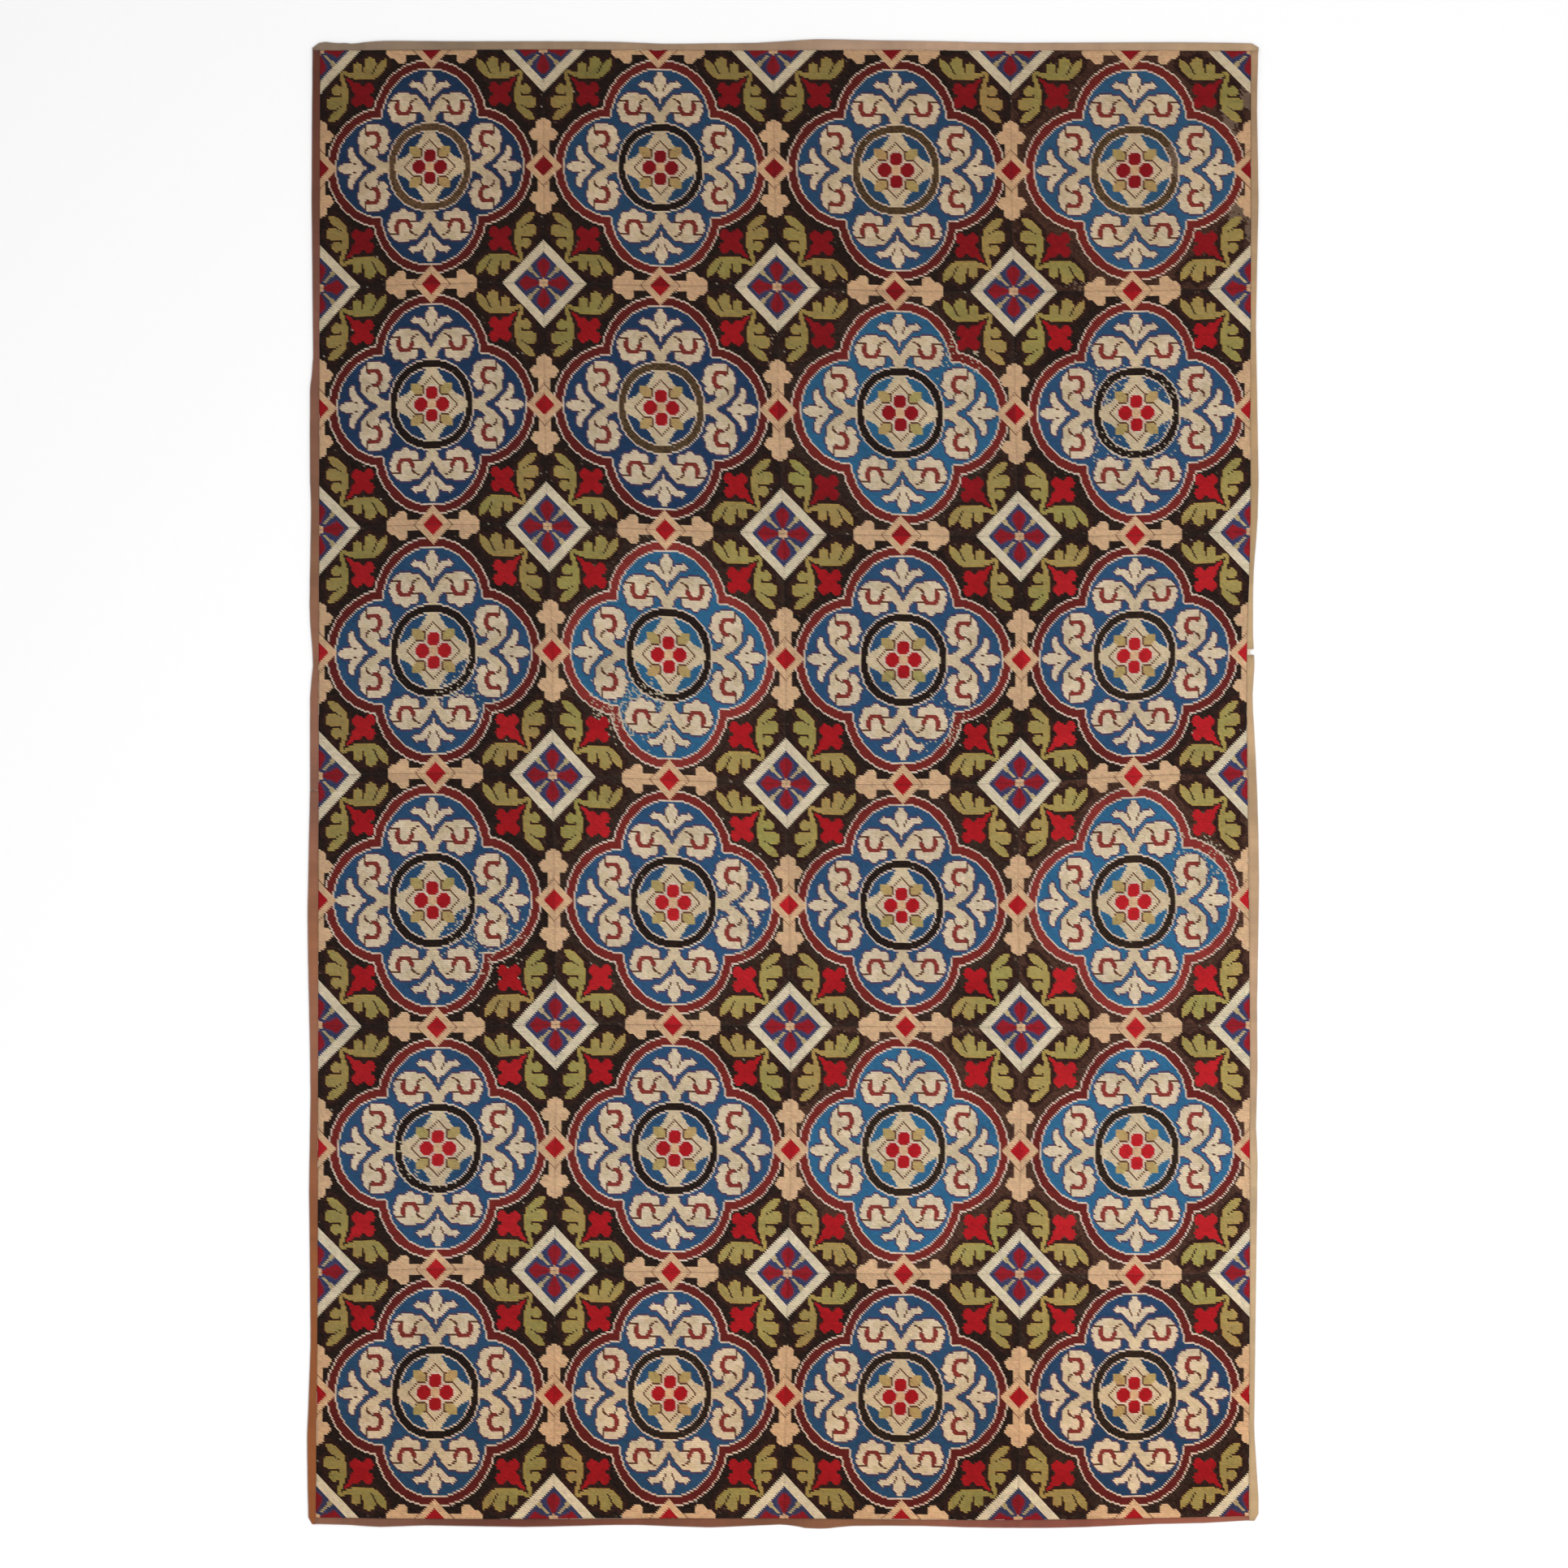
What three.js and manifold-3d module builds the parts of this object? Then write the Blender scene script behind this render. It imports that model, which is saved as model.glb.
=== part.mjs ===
import * as THREE from 'three';
import { mergeVertices } from 'three/addons/utils/BufferGeometryUtils.js';
import Module from 'manifold-3d';

// A large needlepoint rug, lying flat, face up. Twenty-four square panels were stitched one by one,
// sewn together four across and six down, and bound with tape. Millimetres, +Z up, +Y to the top edge.

const wasm = await Module();
wasm.setup();

// Heights above the floor
const FIELD_TOP = 3.5;          // a stitched panel: canvas with wool on both faces
const CANVAS_LOW = 1.3;         // bare canvas margin that the tape folds over
const CANVAS_TOP = 2.8;
const TAPE_TOP = 4.1;           // tape folded over the margin, above and below
const TAPE_THICK = 1.0;

// Clearances and widths
const GAP = 0.3;                // space between pieces that touch
const CANVAS_MARGIN = 6;        // width of the bare canvas outside the stitches
const CANVAS_INSET = 0.5;       // the margin ends this far inside a panel's sewn sides
const CORNER_RADIUS = 7;        // rounded corner of the bound rug, seen from above
const FOLD_STEPS = 4;           // facets round the folded edge of the tape
const ROUND_STATIONS = [0.1, 0.4, 1];   // extra sections of the tape within a round corner
const SIDE_STEPS = 6;           // straight pieces along one side of a panel
const LINE_POINTS = 72;         // points that stand for a whole line where tape is measured from it
const STATION_SPACE = 1;        // no two sections of a tape lie closer than this
const SAME_POINT = 1e-4;        // points closer than this are one corner

// The right-hand tape is in two lengths, and between them the worn margin is gone.
const NOTCH = { top: 269, bottom: 257, canvasLeft: 1.5 };

// X of the five lengthwise lines, the outer two being the edges of the stitched field.
// A row for each crosswise line, and one for the middle of each row of panels between them.
const LENGTHWISE = [
  { left: -927, first: -482, second: -23, third: 450, right: 931 },
  { left: -928, first: -481, second: -21, third: 452, right: 931 },
  { left: -928, first: -481, second: -15, third: 457, right: 931 },
  { left: -929, first: -479, second: -13, third: 460, right: 930 },
  { left: -929, first: -473, second: -3, third: 469, right: 930 },
  { left: -930, first: -464, second: 2, third: 473, right: 923 },
  { left: -930, first: -463, second: 3, third: 469, right: 924 },
  { left: -931, first: -460, second: 9, third: 465, right: 927 },
  { left: -931, first: -457, second: 11, third: 472, right: 929 },
  { left: -932, first: -458, second: 12, third: 470, right: 929 },
  { left: -932, first: -459, second: 6, third: 469, right: 929 },
  { left: -934, first: -460, second: 1, third: 468, right: 928 },
  { left: -936, first: -461, second: -1, third: 466, right: 927 },
];

// Y of the seven crosswise lines, top to bottom. A column for each lengthwise line (left, first,
// second, third, right), and one for the middle of each column of panels (a to d) between them.
const CROSSWISE = [
  { left: 1464, a: 1465, first: 1466, b: 1465, second: 1464, c: 1465, third: 1464, d: 1464, right: 1463 },
  { left: 989, a: 998, first: 1000, b: 994, second: 992, c: 984, third: 983, d: 984, right: 990 },
  { left: 507, a: 518, first: 514, b: 507, second: 499, c: 496, third: 494, d: 496, right: 504 },
  { left: 16, a: 22, first: 17, b: 8, second: 0, c: -1, third: 2, d: 16, right: 21 },
  { left: -481, a: -486, first: -480, b: -481, second: -484, c: -484, third: -486, d: -487, right: -481 },
  { left: -974, a: -968, first: -971, b: -974, second: -976, c: -978, third: -978, d: -980, right: -975 },
  { left: -1464, a: -1467, first: -1467, b: -1466, second: -1466, c: -1468, third: -1469, d: -1466,
    right: -1461 },
];

// The uneven outer edge of the binding. along is X on the short edges and Y on the long ones,
// and out is the edge's other coordinate.
const HEM_TOP = [
  { along: -942, out: 1476 }, { along: -924, out: 1480 }, { along: -915, out: 1481 },
  { along: -892, out: 1478 }, { along: -882, out: 1480 }, { along: -861, out: 1477 },
  { along: -806, out: 1483 }, { along: -665, out: 1482 }, { along: -477, out: 1482 },
  { along: -336, out: 1481 }, { along: -242, out: 1477 }, { along: -148, out: 1478 },
  { along: -54, out: 1479 }, { along: 40, out: 1485 }, { along: 87, out: 1486 },
  { along: 181, out: 1484 }, { along: 322, out: 1482 }, { along: 463, out: 1479 },
  { along: 744, out: 1480 }, { along: 885, out: 1479 }, { along: 946, out: 1477 },
];
const HEM_BOTTOM = [
  { along: -950, out: -1477 }, { along: -868, out: -1479 }, { along: -806, out: -1483 },
  { along: -712, out: -1480 }, { along: -524, out: -1483 }, { along: -383, out: -1480 },
  { along: -289, out: -1479 }, { along: -148, out: -1484 }, { along: -7, out: -1478 },
  { along: 40, out: -1485 }, { along: 87, out: -1486 }, { along: 134, out: -1481 },
  { along: 275, out: -1481 }, { along: 369, out: -1484 }, { along: 510, out: -1485 },
  { along: 603, out: -1483 }, { along: 744, out: -1477 }, { along: 838, out: -1475 },
  { along: 922, out: -1470 }, { along: 945, out: -1470 },
];
const HEM_LEFT = [
  { along: 1476, out: -942 }, { along: 1160, out: -944 }, { along: 852, out: -941 },
  { along: 791, out: -947 }, { along: 606, out: -947 }, { along: 544, out: -945 },
  { along: 360, out: -948 }, { along: 298, out: -945 }, { along: 237, out: -941 },
  { along: 175, out: -947 }, { along: -10, out: -947 }, { along: -256, out: -952 },
  { along: -441, out: -949 }, { along: -625, out: -946 }, { along: -810, out: -949 },
  { along: -1118, out: -946 }, { along: -1302, out: -953 }, { along: -1477, out: -950 },
];
const HEM_RIGHT = [
  { along: 1477, out: 946 }, { along: 1345, out: 943 }, { along: 1160, out: 946 },
  { along: 914, out: 941 }, { along: 606, out: 946 }, { along: 483, out: 941 },
  { along: 421, out: 936 }, { along: 298, out: 935 }, { along: 237, out: 938 },
  { along: 175, out: 934 }, { along: 113, out: 937 }, { along: -10, out: 943 },
  { along: -194, out: 947 }, { along: -441, out: 943 }, { along: -564, out: 944 },
  { along: -687, out: 941 }, { along: -748, out: 944 }, { along: -995, out: 941 },
  { along: -1241, out: 938 }, { along: -1302, out: 938 }, { along: -1426, out: 946 },
  { along: -1470, out: 945 },
];

const ROWS = CROSSWISE.length - 1;
const LINES = ['left', 'first', 'second', 'third', 'right'];
const STATIONS = ['left', 'a', 'first', 'b', 'second', 'c', 'third', 'd', 'right'];
const COLUMNS = LINES.length - 1;

// Colours seen from a step away
const PANEL_COLOURS = [0x4a2f33, 0x4d3136, 0x52373a, 0x573b3b];
const TAN = 0xb39879;
const RUST = 0x85523f;
const WOOL_ROUGHNESS = 0.95;

// Smooth line through the measured points of one lengthwise line
function lengthwiseLine(index) {
  const points = LENGTHWISE.map((row, k) => {
    const above = CROSSWISE[Math.floor(k / 2)][LINES[index]];
    const below = CROSSWISE[Math.ceil(k / 2)][LINES[index]];
    return new THREE.Vector2(row[LINES[index]], (above + below) / 2);
  });
  return new THREE.SplineCurve(points);
}

// Smooth line through the measured points of one crosswise line
function crosswiseLine(index) {
  const at = LENGTHWISE[2 * index];
  const points = STATIONS.map((station, k) => {
    const before = at[LINES[Math.floor(k / 2)]];
    const after = at[LINES[Math.ceil(k / 2)]];
    return new THREE.Vector2((before + after) / 2, CROSSWISE[index][station]);
  });
  return new THREE.SplineCurve(points);
}

const lengthwise = LINES.map((name, index) => lengthwiseLine(index));
const crosswise = CROSSWISE.map((row, index) => crosswiseLine(index));

// Points of a line between two of its fractions, without the last one
function stretch(curve, from, to, steps) {
  const points = [];
  for (let k = 0; k < steps; k += 1) {
    points.push(curve.getPoint(from + ((to - from) * k) / steps));
  }
  return points;
}

// Closed loop round a block of panels, with each side moved outwards by its own amount.
// The lines run nearly along X and Y, so a side is moved along one axis.
function blockLoop(top, bottom, left, right, grow) {
  const wide = SIDE_STEPS * (right - left);
  const high = SIDE_STEPS * (bottom - top);
  const [x0, x1] = [left / COLUMNS, right / COLUMNS];
  const [y0, y1] = [top / ROWS, bottom / ROWS];
  const sides = [
    { points: stretch(crosswise[bottom], x0, x1, wide), move: [0, -grow.bottom], first: [-grow.left, 0] },
    { points: stretch(lengthwise[right], y1, y0, high), move: [grow.right, 0], first: [0, -grow.bottom] },
    { points: stretch(crosswise[top], x1, x0, wide), move: [0, grow.top], first: [grow.right, 0] },
    { points: stretch(lengthwise[left], y0, y1, high), move: [-grow.left, 0], first: [0, grow.top] },
  ];
  const loop = [];
  for (const { points, move, first } of sides) {
    points.forEach((point, k) => {
      const dx = move[0] + (k === 0 ? first[0] : 0);
      const dy = move[1] + (k === 0 ? first[1] : 0);
      loop.push(new THREE.Vector2(point.x + dx, point.y + dy));
    });
  }
  return loop;
}

function plate(loop, low, high) {
  const shape = new THREE.Shape(loop);
  const geometry = new THREE.ExtrudeGeometry(shape, { depth: high - low, bevelEnabled: false });
  return geometry.translate(0, 0, low);
}

// Closed mesh with shared corners, ready to be joined or cut
function solidOf(geometry) {
  geometry.deleteAttribute('normal');
  geometry.deleteAttribute('uv');
  const merged = mergeVertices(geometry, SAME_POINT);
  const vertProperties = Float32Array.from(merged.attributes.position.array);
  const triVerts = Uint32Array.from(merged.index.array);
  return new wasm.Manifold(new wasm.Mesh({ numProp: 3, vertProperties, triVerts }));
}

function geometryOf(solid) {
  const mesh = solid.getMesh();
  const geometry = new THREE.BufferGeometry();
  geometry.setAttribute('position', new THREE.BufferAttribute(mesh.vertProperties, 3));
  geometry.setIndex(new THREE.BufferAttribute(mesh.triVerts, 1));
  return geometry;
}

// One stitched panel. A panel at the rug's edge also has the bare margin under the tape.
function panelGeometry(row, column) {
  const sewn = -GAP / 2;
  const edges = {
    top: row === 0,
    bottom: row === ROWS - 1,
    left: column === 0,
    right: column === COLUMNS - 1,
  };
  const field = {};
  const margin = {};
  for (const [side, isEdge] of Object.entries(edges)) {
    field[side] = isEdge ? 0 : sewn;
    margin[side] = isEdge ? CANVAS_MARGIN : sewn - CANVAS_INSET;
  }
  const stitched = plate(blockLoop(row, row + 1, column, column + 1, field), 0, FIELD_TOP);
  if (!Object.values(edges).includes(true)) {
    return stitched;
  }
  const canvas = plate(blockLoop(row, row + 1, column, column + 1, margin), CANVAS_LOW, CANVAS_TOP);
  let panel = solidOf(stitched).add(solidOf(canvas));
  if (edges.right) {
    panel = panel.subtract(solidOf(notchBlock()));
  }
  return geometryOf(panel);
}

// The space that the lost canvas leaves between the two right-hand tapes
function notchBlock() {
  const middle = (NOTCH.top + NOTCH.bottom) / 2;
  const fieldEdge = edgeAt(lengthwise[COLUMNS].getPoints(LINE_POINTS), middle, 'y', 'x');
  const height = NOTCH.top - NOTCH.bottom + 2 * GAP;
  const block = new THREE.BoxGeometry(2 * CANVAS_MARGIN, height, 2 * FIELD_TOP);
  return block.translate(fieldEdge + NOTCH.canvasLeft + CANVAS_MARGIN, middle, 0);
}

// Value of one coordinate where a polyline reaches a place along the other, held at its ends
function edgeAt(points, place, along, across) {
  const sorted = [...points].sort((p, q) => p[along] - q[along]);
  const last = sorted.length - 1;
  if (place <= sorted[0][along]) {
    return sorted[0][across];
  }
  for (let k = 0; k < last; k += 1) {
    const a = sorted[k];
    const b = sorted[k + 1];
    if (place <= b[along]) {
      return a[across] + ((place - a[along]) / (b[along] - a[along])) * (b[across] - a[across]);
    }
  }
  return sorted[last][across];
}

// Places along one length of tape: the table's own, those halfway, and a few close to a round end
function stationsAlong(hem, from, to, roundEnds) {
  const smooth = new THREE.SplineCurve(hem.map((row) => new THREE.Vector2(row.along, row.out)));
  const points = smooth.getPoints(2 * (hem.length - 1)).map((point) => ({ along: point.x, out: point.y }));
  const low = Math.min(from, to);
  const high = Math.max(from, to);
  const inside = (place) => place > low + STATION_SPACE && place < high - STATION_SPACE;
  const places = points.map((point) => point.along).filter(inside);
  places.push(low, high);
  const near = ROUND_STATIONS.map((part) => part * CORNER_RADIUS);
  if (roundEnds.low) {
    places.push(...near.map((step) => low + step));
  }
  if (roundEnds.high) {
    places.push(...near.map((step) => high - step));
  }
  places.sort((a, b) => a - b);
  const kept = places.filter((place, k) => k === 0 || place - places[k - 1] > GAP);
  return kept.map((place) => ({ along: place, out: edgeAt(points, place, 'along', 'out') }));
}

// How far the outer edge draws in at a round corner
function cornerDraw(distance) {
  if (distance >= CORNER_RADIUS) {
    return 0;
  }
  const reach = CORNER_RADIUS - distance;
  return CORNER_RADIUS - Math.sqrt(CORNER_RADIUS ** 2 - reach ** 2);
}

// Section of the folded tape, from its inner edge round the fold and back, as [outward share, height]
function tapeSection() {
  const section = [[0, 0]];
  const radius = TAPE_TOP / 2;
  for (let k = 0; k <= FOLD_STEPS; k += 1) {
    const angle = -Math.PI / 2 + (Math.PI * k) / FOLD_STEPS;
    section.push([1, radius + radius * Math.sin(angle), radius * (1 - Math.cos(angle))]);
  }
  section.push([0, TAPE_TOP]);
  return section;
}

// One length of tape along an edge: a bar with a rounded outer edge, hollowed by the canvas slot
function tapeGeometry({ hem, line, from, to, axis, outward, roundEnds }) {
  const fieldEdge = line.getPoints(LINE_POINTS);
  const across = axis === 'x' ? 'y' : 'x';
  const stations = stationsAlong(hem, from, to, roundEnds);
  const low = stations[0].along;
  const high = stations[stations.length - 1].along;
  const section = tapeSection();
  const positions = [];
  for (const { along, out } of stations) {
    const inner = edgeAt(fieldEdge, along, axis, across) + outward * GAP;
    let outer = out;
    if (roundEnds.low) {
      outer -= outward * cornerDraw(along - low);
    }
    if (roundEnds.high) {
      outer -= outward * cornerDraw(high - along);
    }
    for (const [share, height, back = 0] of section) {
      const side = inner + share * (outer - inner) - outward * back;
      positions.push(...(axis === 'x' ? [along, side, height] : [side, along, height]));
    }
  }
  const ring = section.length;
  const index = [];
  const quad = (a, b, c, d) => index.push(a, b, c, a, c, d);
  for (let s = 0; s < stations.length - 1; s += 1) {
    for (let k = 0; k < ring; k += 1) {
      const next = (k + 1) % ring;
      quad(s * ring + k, (s + 1) * ring + k, (s + 1) * ring + next, s * ring + next);
    }
  }
  const lastRing = (stations.length - 1) * ring;
  for (let k = 1; k < ring - 1; k += 1) {
    index.push(0, k, k + 1);
    index.push(lastRing, lastRing + k + 1, lastRing + k);
  }
  const facesOut = (axis === 'x') !== (outward > 0);
  if (!facesOut) {
    index.reverse();
  }
  const bar = new THREE.BufferGeometry();
  bar.setAttribute('position', new THREE.Float32BufferAttribute(positions, 3));
  bar.setIndex(index);
  return geometryOf(solidOf(bar).subtract(canvasSlot()));
}

// Space inside the folded tape that takes the canvas margin
function canvasSlot() {
  const reach = CANVAS_MARGIN + GAP;
  const loop = blockLoop(0, ROWS, 0, COLUMNS, { top: reach, bottom: reach, left: reach, right: reach });
  return solidOf(plate(loop, TAPE_THICK, TAPE_TOP - TAPE_THICK));
}

function wool(colour) {
  return new THREE.MeshStandardMaterial({ color: colour, roughness: WOOL_ROUGHNESS, metalness: 0 });
}

function buildPanels() {
  const panels = new THREE.Group();
  for (let row = 0; row < ROWS; row += 1) {
    for (let column = 0; column < COLUMNS; column += 1) {
      const colour = PANEL_COLOURS[(row + column) % PANEL_COLOURS.length];
      const panel = new THREE.Mesh(panelGeometry(row, column), wool(colour));
      panel.name = `panel_r${row + 1}_c${column + 1}`;
      panels.add(panel);
    }
  }
  return panels;
}

function buildBinding() {
  const topLine = crosswise[0];
  const bottomLine = crosswise[ROWS];
  const leftLine = lengthwise[0];
  const rightLine = lengthwise[COLUMNS];
  const topLeft = topLine.getPoint(0);
  const topRight = topLine.getPoint(1);
  const bottomLeft = bottomLine.getPoint(0);
  const bottomRight = bottomLine.getPoint(1);
  const tapes = [
    { name: 'binding_top', colour: TAN, hem: HEM_TOP, line: topLine, axis: 'x', outward: 1,
      from: HEM_TOP[0].along, to: HEM_TOP.at(-1).along, roundEnds: { low: true, high: true } },
    { name: 'binding_left', colour: RUST, hem: HEM_LEFT, line: leftLine, axis: 'y', outward: -1,
      from: topLeft.y, to: HEM_LEFT.at(-1).along, roundEnds: { low: true } },
    { name: 'binding_bottom', colour: RUST, hem: HEM_BOTTOM, line: bottomLine, axis: 'x', outward: -1,
      from: bottomLeft.x, to: bottomRight.x, roundEnds: {} },
    { name: 'binding_right_upper', colour: TAN, hem: HEM_RIGHT, line: rightLine, axis: 'y', outward: 1,
      from: topRight.y, to: NOTCH.top, roundEnds: {} },
    { name: 'binding_right_lower', colour: TAN, hem: HEM_RIGHT, line: rightLine, axis: 'y', outward: 1,
      from: NOTCH.bottom, to: HEM_RIGHT.at(-1).along, roundEnds: { low: true } },
  ];
  const binding = new THREE.Group();
  for (const tape of tapes) {
    const mesh = new THREE.Mesh(tapeGeometry(tape), wool(tape.colour));
    mesh.name = tape.name;
    binding.add(mesh);
  }
  return binding;
}

// The finished rug, moved so that the middle of its outline stands over the origin
const group = new THREE.Group();
group.add(buildPanels(), buildBinding());
const middle = new THREE.Box3().setFromObject(group).getCenter(new THREE.Vector3());
group.position.set(-middle.x, -middle.y, 0);

export default group;
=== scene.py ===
import bpy
import math
import numpy as np
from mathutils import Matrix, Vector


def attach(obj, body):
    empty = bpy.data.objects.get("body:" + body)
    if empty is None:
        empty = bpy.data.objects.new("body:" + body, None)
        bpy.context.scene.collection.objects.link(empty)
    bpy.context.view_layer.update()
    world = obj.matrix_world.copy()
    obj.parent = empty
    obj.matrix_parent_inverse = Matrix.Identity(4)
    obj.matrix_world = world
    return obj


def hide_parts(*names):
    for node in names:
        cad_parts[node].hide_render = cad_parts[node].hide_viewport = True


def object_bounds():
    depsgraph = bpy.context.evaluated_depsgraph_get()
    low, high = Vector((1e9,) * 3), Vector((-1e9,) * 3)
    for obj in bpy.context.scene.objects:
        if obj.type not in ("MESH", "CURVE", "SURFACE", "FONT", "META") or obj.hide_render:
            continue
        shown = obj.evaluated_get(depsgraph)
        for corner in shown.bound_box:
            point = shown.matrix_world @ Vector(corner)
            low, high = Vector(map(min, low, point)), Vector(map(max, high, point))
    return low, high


# needlepoint rug: 24 stitched panels sewn edge to edge, bound with folded tape
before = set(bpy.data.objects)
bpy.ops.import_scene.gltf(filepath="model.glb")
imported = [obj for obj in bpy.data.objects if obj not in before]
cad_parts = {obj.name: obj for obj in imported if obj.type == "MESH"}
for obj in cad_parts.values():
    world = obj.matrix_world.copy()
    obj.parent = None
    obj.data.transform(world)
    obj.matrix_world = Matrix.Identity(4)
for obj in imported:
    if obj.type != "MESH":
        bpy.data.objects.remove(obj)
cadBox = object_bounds()
print("stage 1: frame loaded,", len(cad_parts), "nodes")


# small shared helpers

def linear(rgb):
    c = np.asarray(rgb, float) / 255
    return np.where(c <= 0.04045, c / 12.92, ((c + 0.055) / 1.055) ** 2.4)


def ripple(x, y, size, seed):
    # slow waves about size metres long, from -1 to 1, the same on every run
    draw = np.random.default_rng(seed)
    total = np.zeros_like(x)
    waves, tallest = 6, 1.6
    for _ in range(waves):
        turn, phase = draw.uniform(0, 2 * math.pi, 2)
        pace = 2 * math.pi / (size * draw.uniform(0.6, 1.6))
        total += np.sin(pace * (x * math.cos(turn) + y * math.sin(turn)) + phase)
    return total / math.sqrt(waves) / tallest


def makeMesh(name, points, groups):
    # each group is an array of corner numbers, one face a row
    corners = np.concatenate([g.ravel() for g in groups]).astype(np.int32)
    counts = np.concatenate([np.full(len(g), g.shape[1]) for g in groups])
    starts = np.concatenate([[0], np.cumsum(counts)[:-1]]).astype(np.int32)
    mesh = bpy.data.meshes.new(name)
    mesh.vertices.add(len(points))
    mesh.vertices.foreach_set("co", np.asarray(points, np.float32).ravel())
    mesh.loops.add(len(corners))
    mesh.loops.foreach_set("vertex_index", corners)
    mesh.polygons.add(len(starts))
    mesh.polygons.foreach_set("loop_start", starts)
    mesh.update(calc_edges=True)
    piece = bpy.data.objects.new(name, mesh)
    bpy.context.scene.collection.objects.link(piece)
    return piece


def setMap(piece, name, *parts):
    # one place for each corner
    layer = piece.data.uv_layers.new(name=name, do_init=False)
    layer.data.foreach_set("uv", np.concatenate([np.ravel(part) for part in parts]).astype(np.float32))


def setShade(piece, *parts):
    # one colour for each corner, linear
    values = np.concatenate([part.reshape(-1, 3) for part in parts])
    full = np.ones((len(values), 4), np.float32)
    full[:, :3] = values
    layer = piece.data.color_attributes.new("shade", "FLOAT_COLOR", "CORNER")
    layer.data.foreach_set("color", full.ravel())


def setSmooth(piece, flags):
    piece.data.polygons.foreach_set("use_smooth", np.asarray(flags, bool))


def vertexPoints(node):
    points = np.zeros(len(node.data.vertices) * 3)
    node.data.vertices.foreach_get("co", points)
    return points.reshape(-1, 3)


def lineLength(line):
    return np.hypot(*np.diff(line, axis=0).T).sum()


def gridFaces(grid):
    # the four corners of each square of a grid
    return np.stack([grid[:-1, :-1], grid[:-1, 1:], grid[1:, 1:], grid[1:, :-1]], axis=2)


def tubeFaces(start, sections, corners, flip):
    # faces between the sections of a tube, and its two ends
    ids = start + np.arange(sections * corners).reshape(sections, corners)
    around = np.roll(ids, -1, axis=1)
    faces = np.stack([ids[:-1], around[:-1], around[1:], ids[1:]], -1).reshape(-1, 4)
    ends = np.stack([ids[0][::-1], ids[-1]])
    return (faces[:, ::-1], ends[:, ::-1]) if flip else (faces, ends)


def triangles(piece):
    return sum(len(face.vertices) - 2 for face in piece.data.polygons)


# materials

def newMaterial(name):
    material = bpy.data.materials.new(name)
    material.use_nodes = True
    tree = material.node_tree
    tree.nodes.clear()
    shader = tree.nodes.new("ShaderNodeBsdfPrincipled")
    output = tree.nodes.new("ShaderNodeOutputMaterial")
    tree.links.new(shader.outputs["BSDF"], output.inputs["Surface"])
    return material, tree, shader


def feed(tree, socket, value):
    if isinstance(value, bpy.types.NodeSocket):
        tree.links.new(value, socket)
    else:
        socket.default_value = value


def sums(tree, operation, *values):
    node = tree.nodes.new("ShaderNodeMath")
    node.operation = operation
    for socket, value in zip(node.inputs, values):
        feed(tree, socket, value)
    return node.outputs[0]


def noise(tree, vector, scale, detail):
    node = tree.nodes.new("ShaderNodeTexNoise")
    node.inputs["Scale"].default_value = scale
    node.inputs["Detail"].default_value = detail
    tree.links.new(vector, node.inputs["Vector"])
    return node.outputs["Fac"]


def scaled(tree, colour, factor):
    node = tree.nodes.new("ShaderNodeVectorMath")
    node.operation = "SCALE"
    tree.links.new(colour, node.inputs[0])
    feed(tree, node.inputs["Scale"], factor)
    return node.outputs["Vector"]


def clothInputs(tree):
    # colour of a face's corners, both ways of the stitch map, and the place on the rug
    shade = tree.nodes.new("ShaderNodeAttribute")
    shade.attribute_name = "shade"
    stitchMap = tree.nodes.new("ShaderNodeUVMap")
    stitchMap.uv_map = "stitch"
    split = tree.nodes.new("ShaderNodeSeparateXYZ")
    tree.links.new(stitchMap.outputs["UV"], split.inputs[0])
    place = tree.nodes.new("ShaderNodeTexCoord").outputs["Object"]
    return shade.outputs["Color"], split.outputs["X"], split.outputs["Y"], place


def finishCloth(tree, shader, colour, height, unevenness, values):
    bump = tree.nodes.new("ShaderNodeBump")
    bump.inputs["Strength"].default_value = values["bumpStrength"]
    bump.inputs["Distance"].default_value = values["bumpHeight"]
    tree.links.new(height, bump.inputs["Height"])
    tree.links.new(bump.outputs["Normal"], shader.inputs["Normal"])
    tree.links.new(colour, shader.inputs["Base Color"])
    swing = values["roughSpread"]
    rough = sums(tree, "MULTIPLY_ADD", unevenness, swing, values["roughness"] - swing / 2)
    tree.links.new(rough, shader.inputs["Roughness"])
    shader.inputs["Specular IOR Level"].default_value = values["specular"]
    shader.inputs["Sheen Weight"].default_value = values["sheen"]
    shader.inputs["Sheen Roughness"].default_value = 0.5


def arch(tree, share, power):
    # 1 halfway along a stitch and 0 at both of its ends
    fromMiddle = sums(tree, "ABSOLUTE", sums(tree, "MULTIPLY_ADD", share, 2.0, -1.0))
    return sums(tree, "SUBTRACT", 1.0, sums(tree, "POWER", fromMiddle, power))


def speckle(tree, light, speck, depth):
    return sums(tree, "MULTIPLY", light, sums(tree, "MULTIPLY_ADD", speck, depth, 1.0 - depth / 2))


woolValues = {
    "strandDipShade": 0.42,  # painted shade: how much darker the dip between two strands is
    "strandMean": 0.62,  # height on a strand that keeps the wool's own lightness
    "roundAcross": 2.4, "roundAlong": 4.0,  # how late a strand turns down at its sides and ends
    "plyDepth": 0.1, "fibreDepth": 0.35,  # as shares of a strand's height
    "fibreScale": 2600.0, "mottleScale": 38.0,
    "fuzz": 0.16,  # unevenness of the wool's colour
    "bumpHeight": 0.0009,  # metres
    "bumpStrength": 0.7,
    "roughness": 0.9, "roughSpread": 0.12,
    "specular": 0.08,
    "sheen": 0.04,
}


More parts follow.
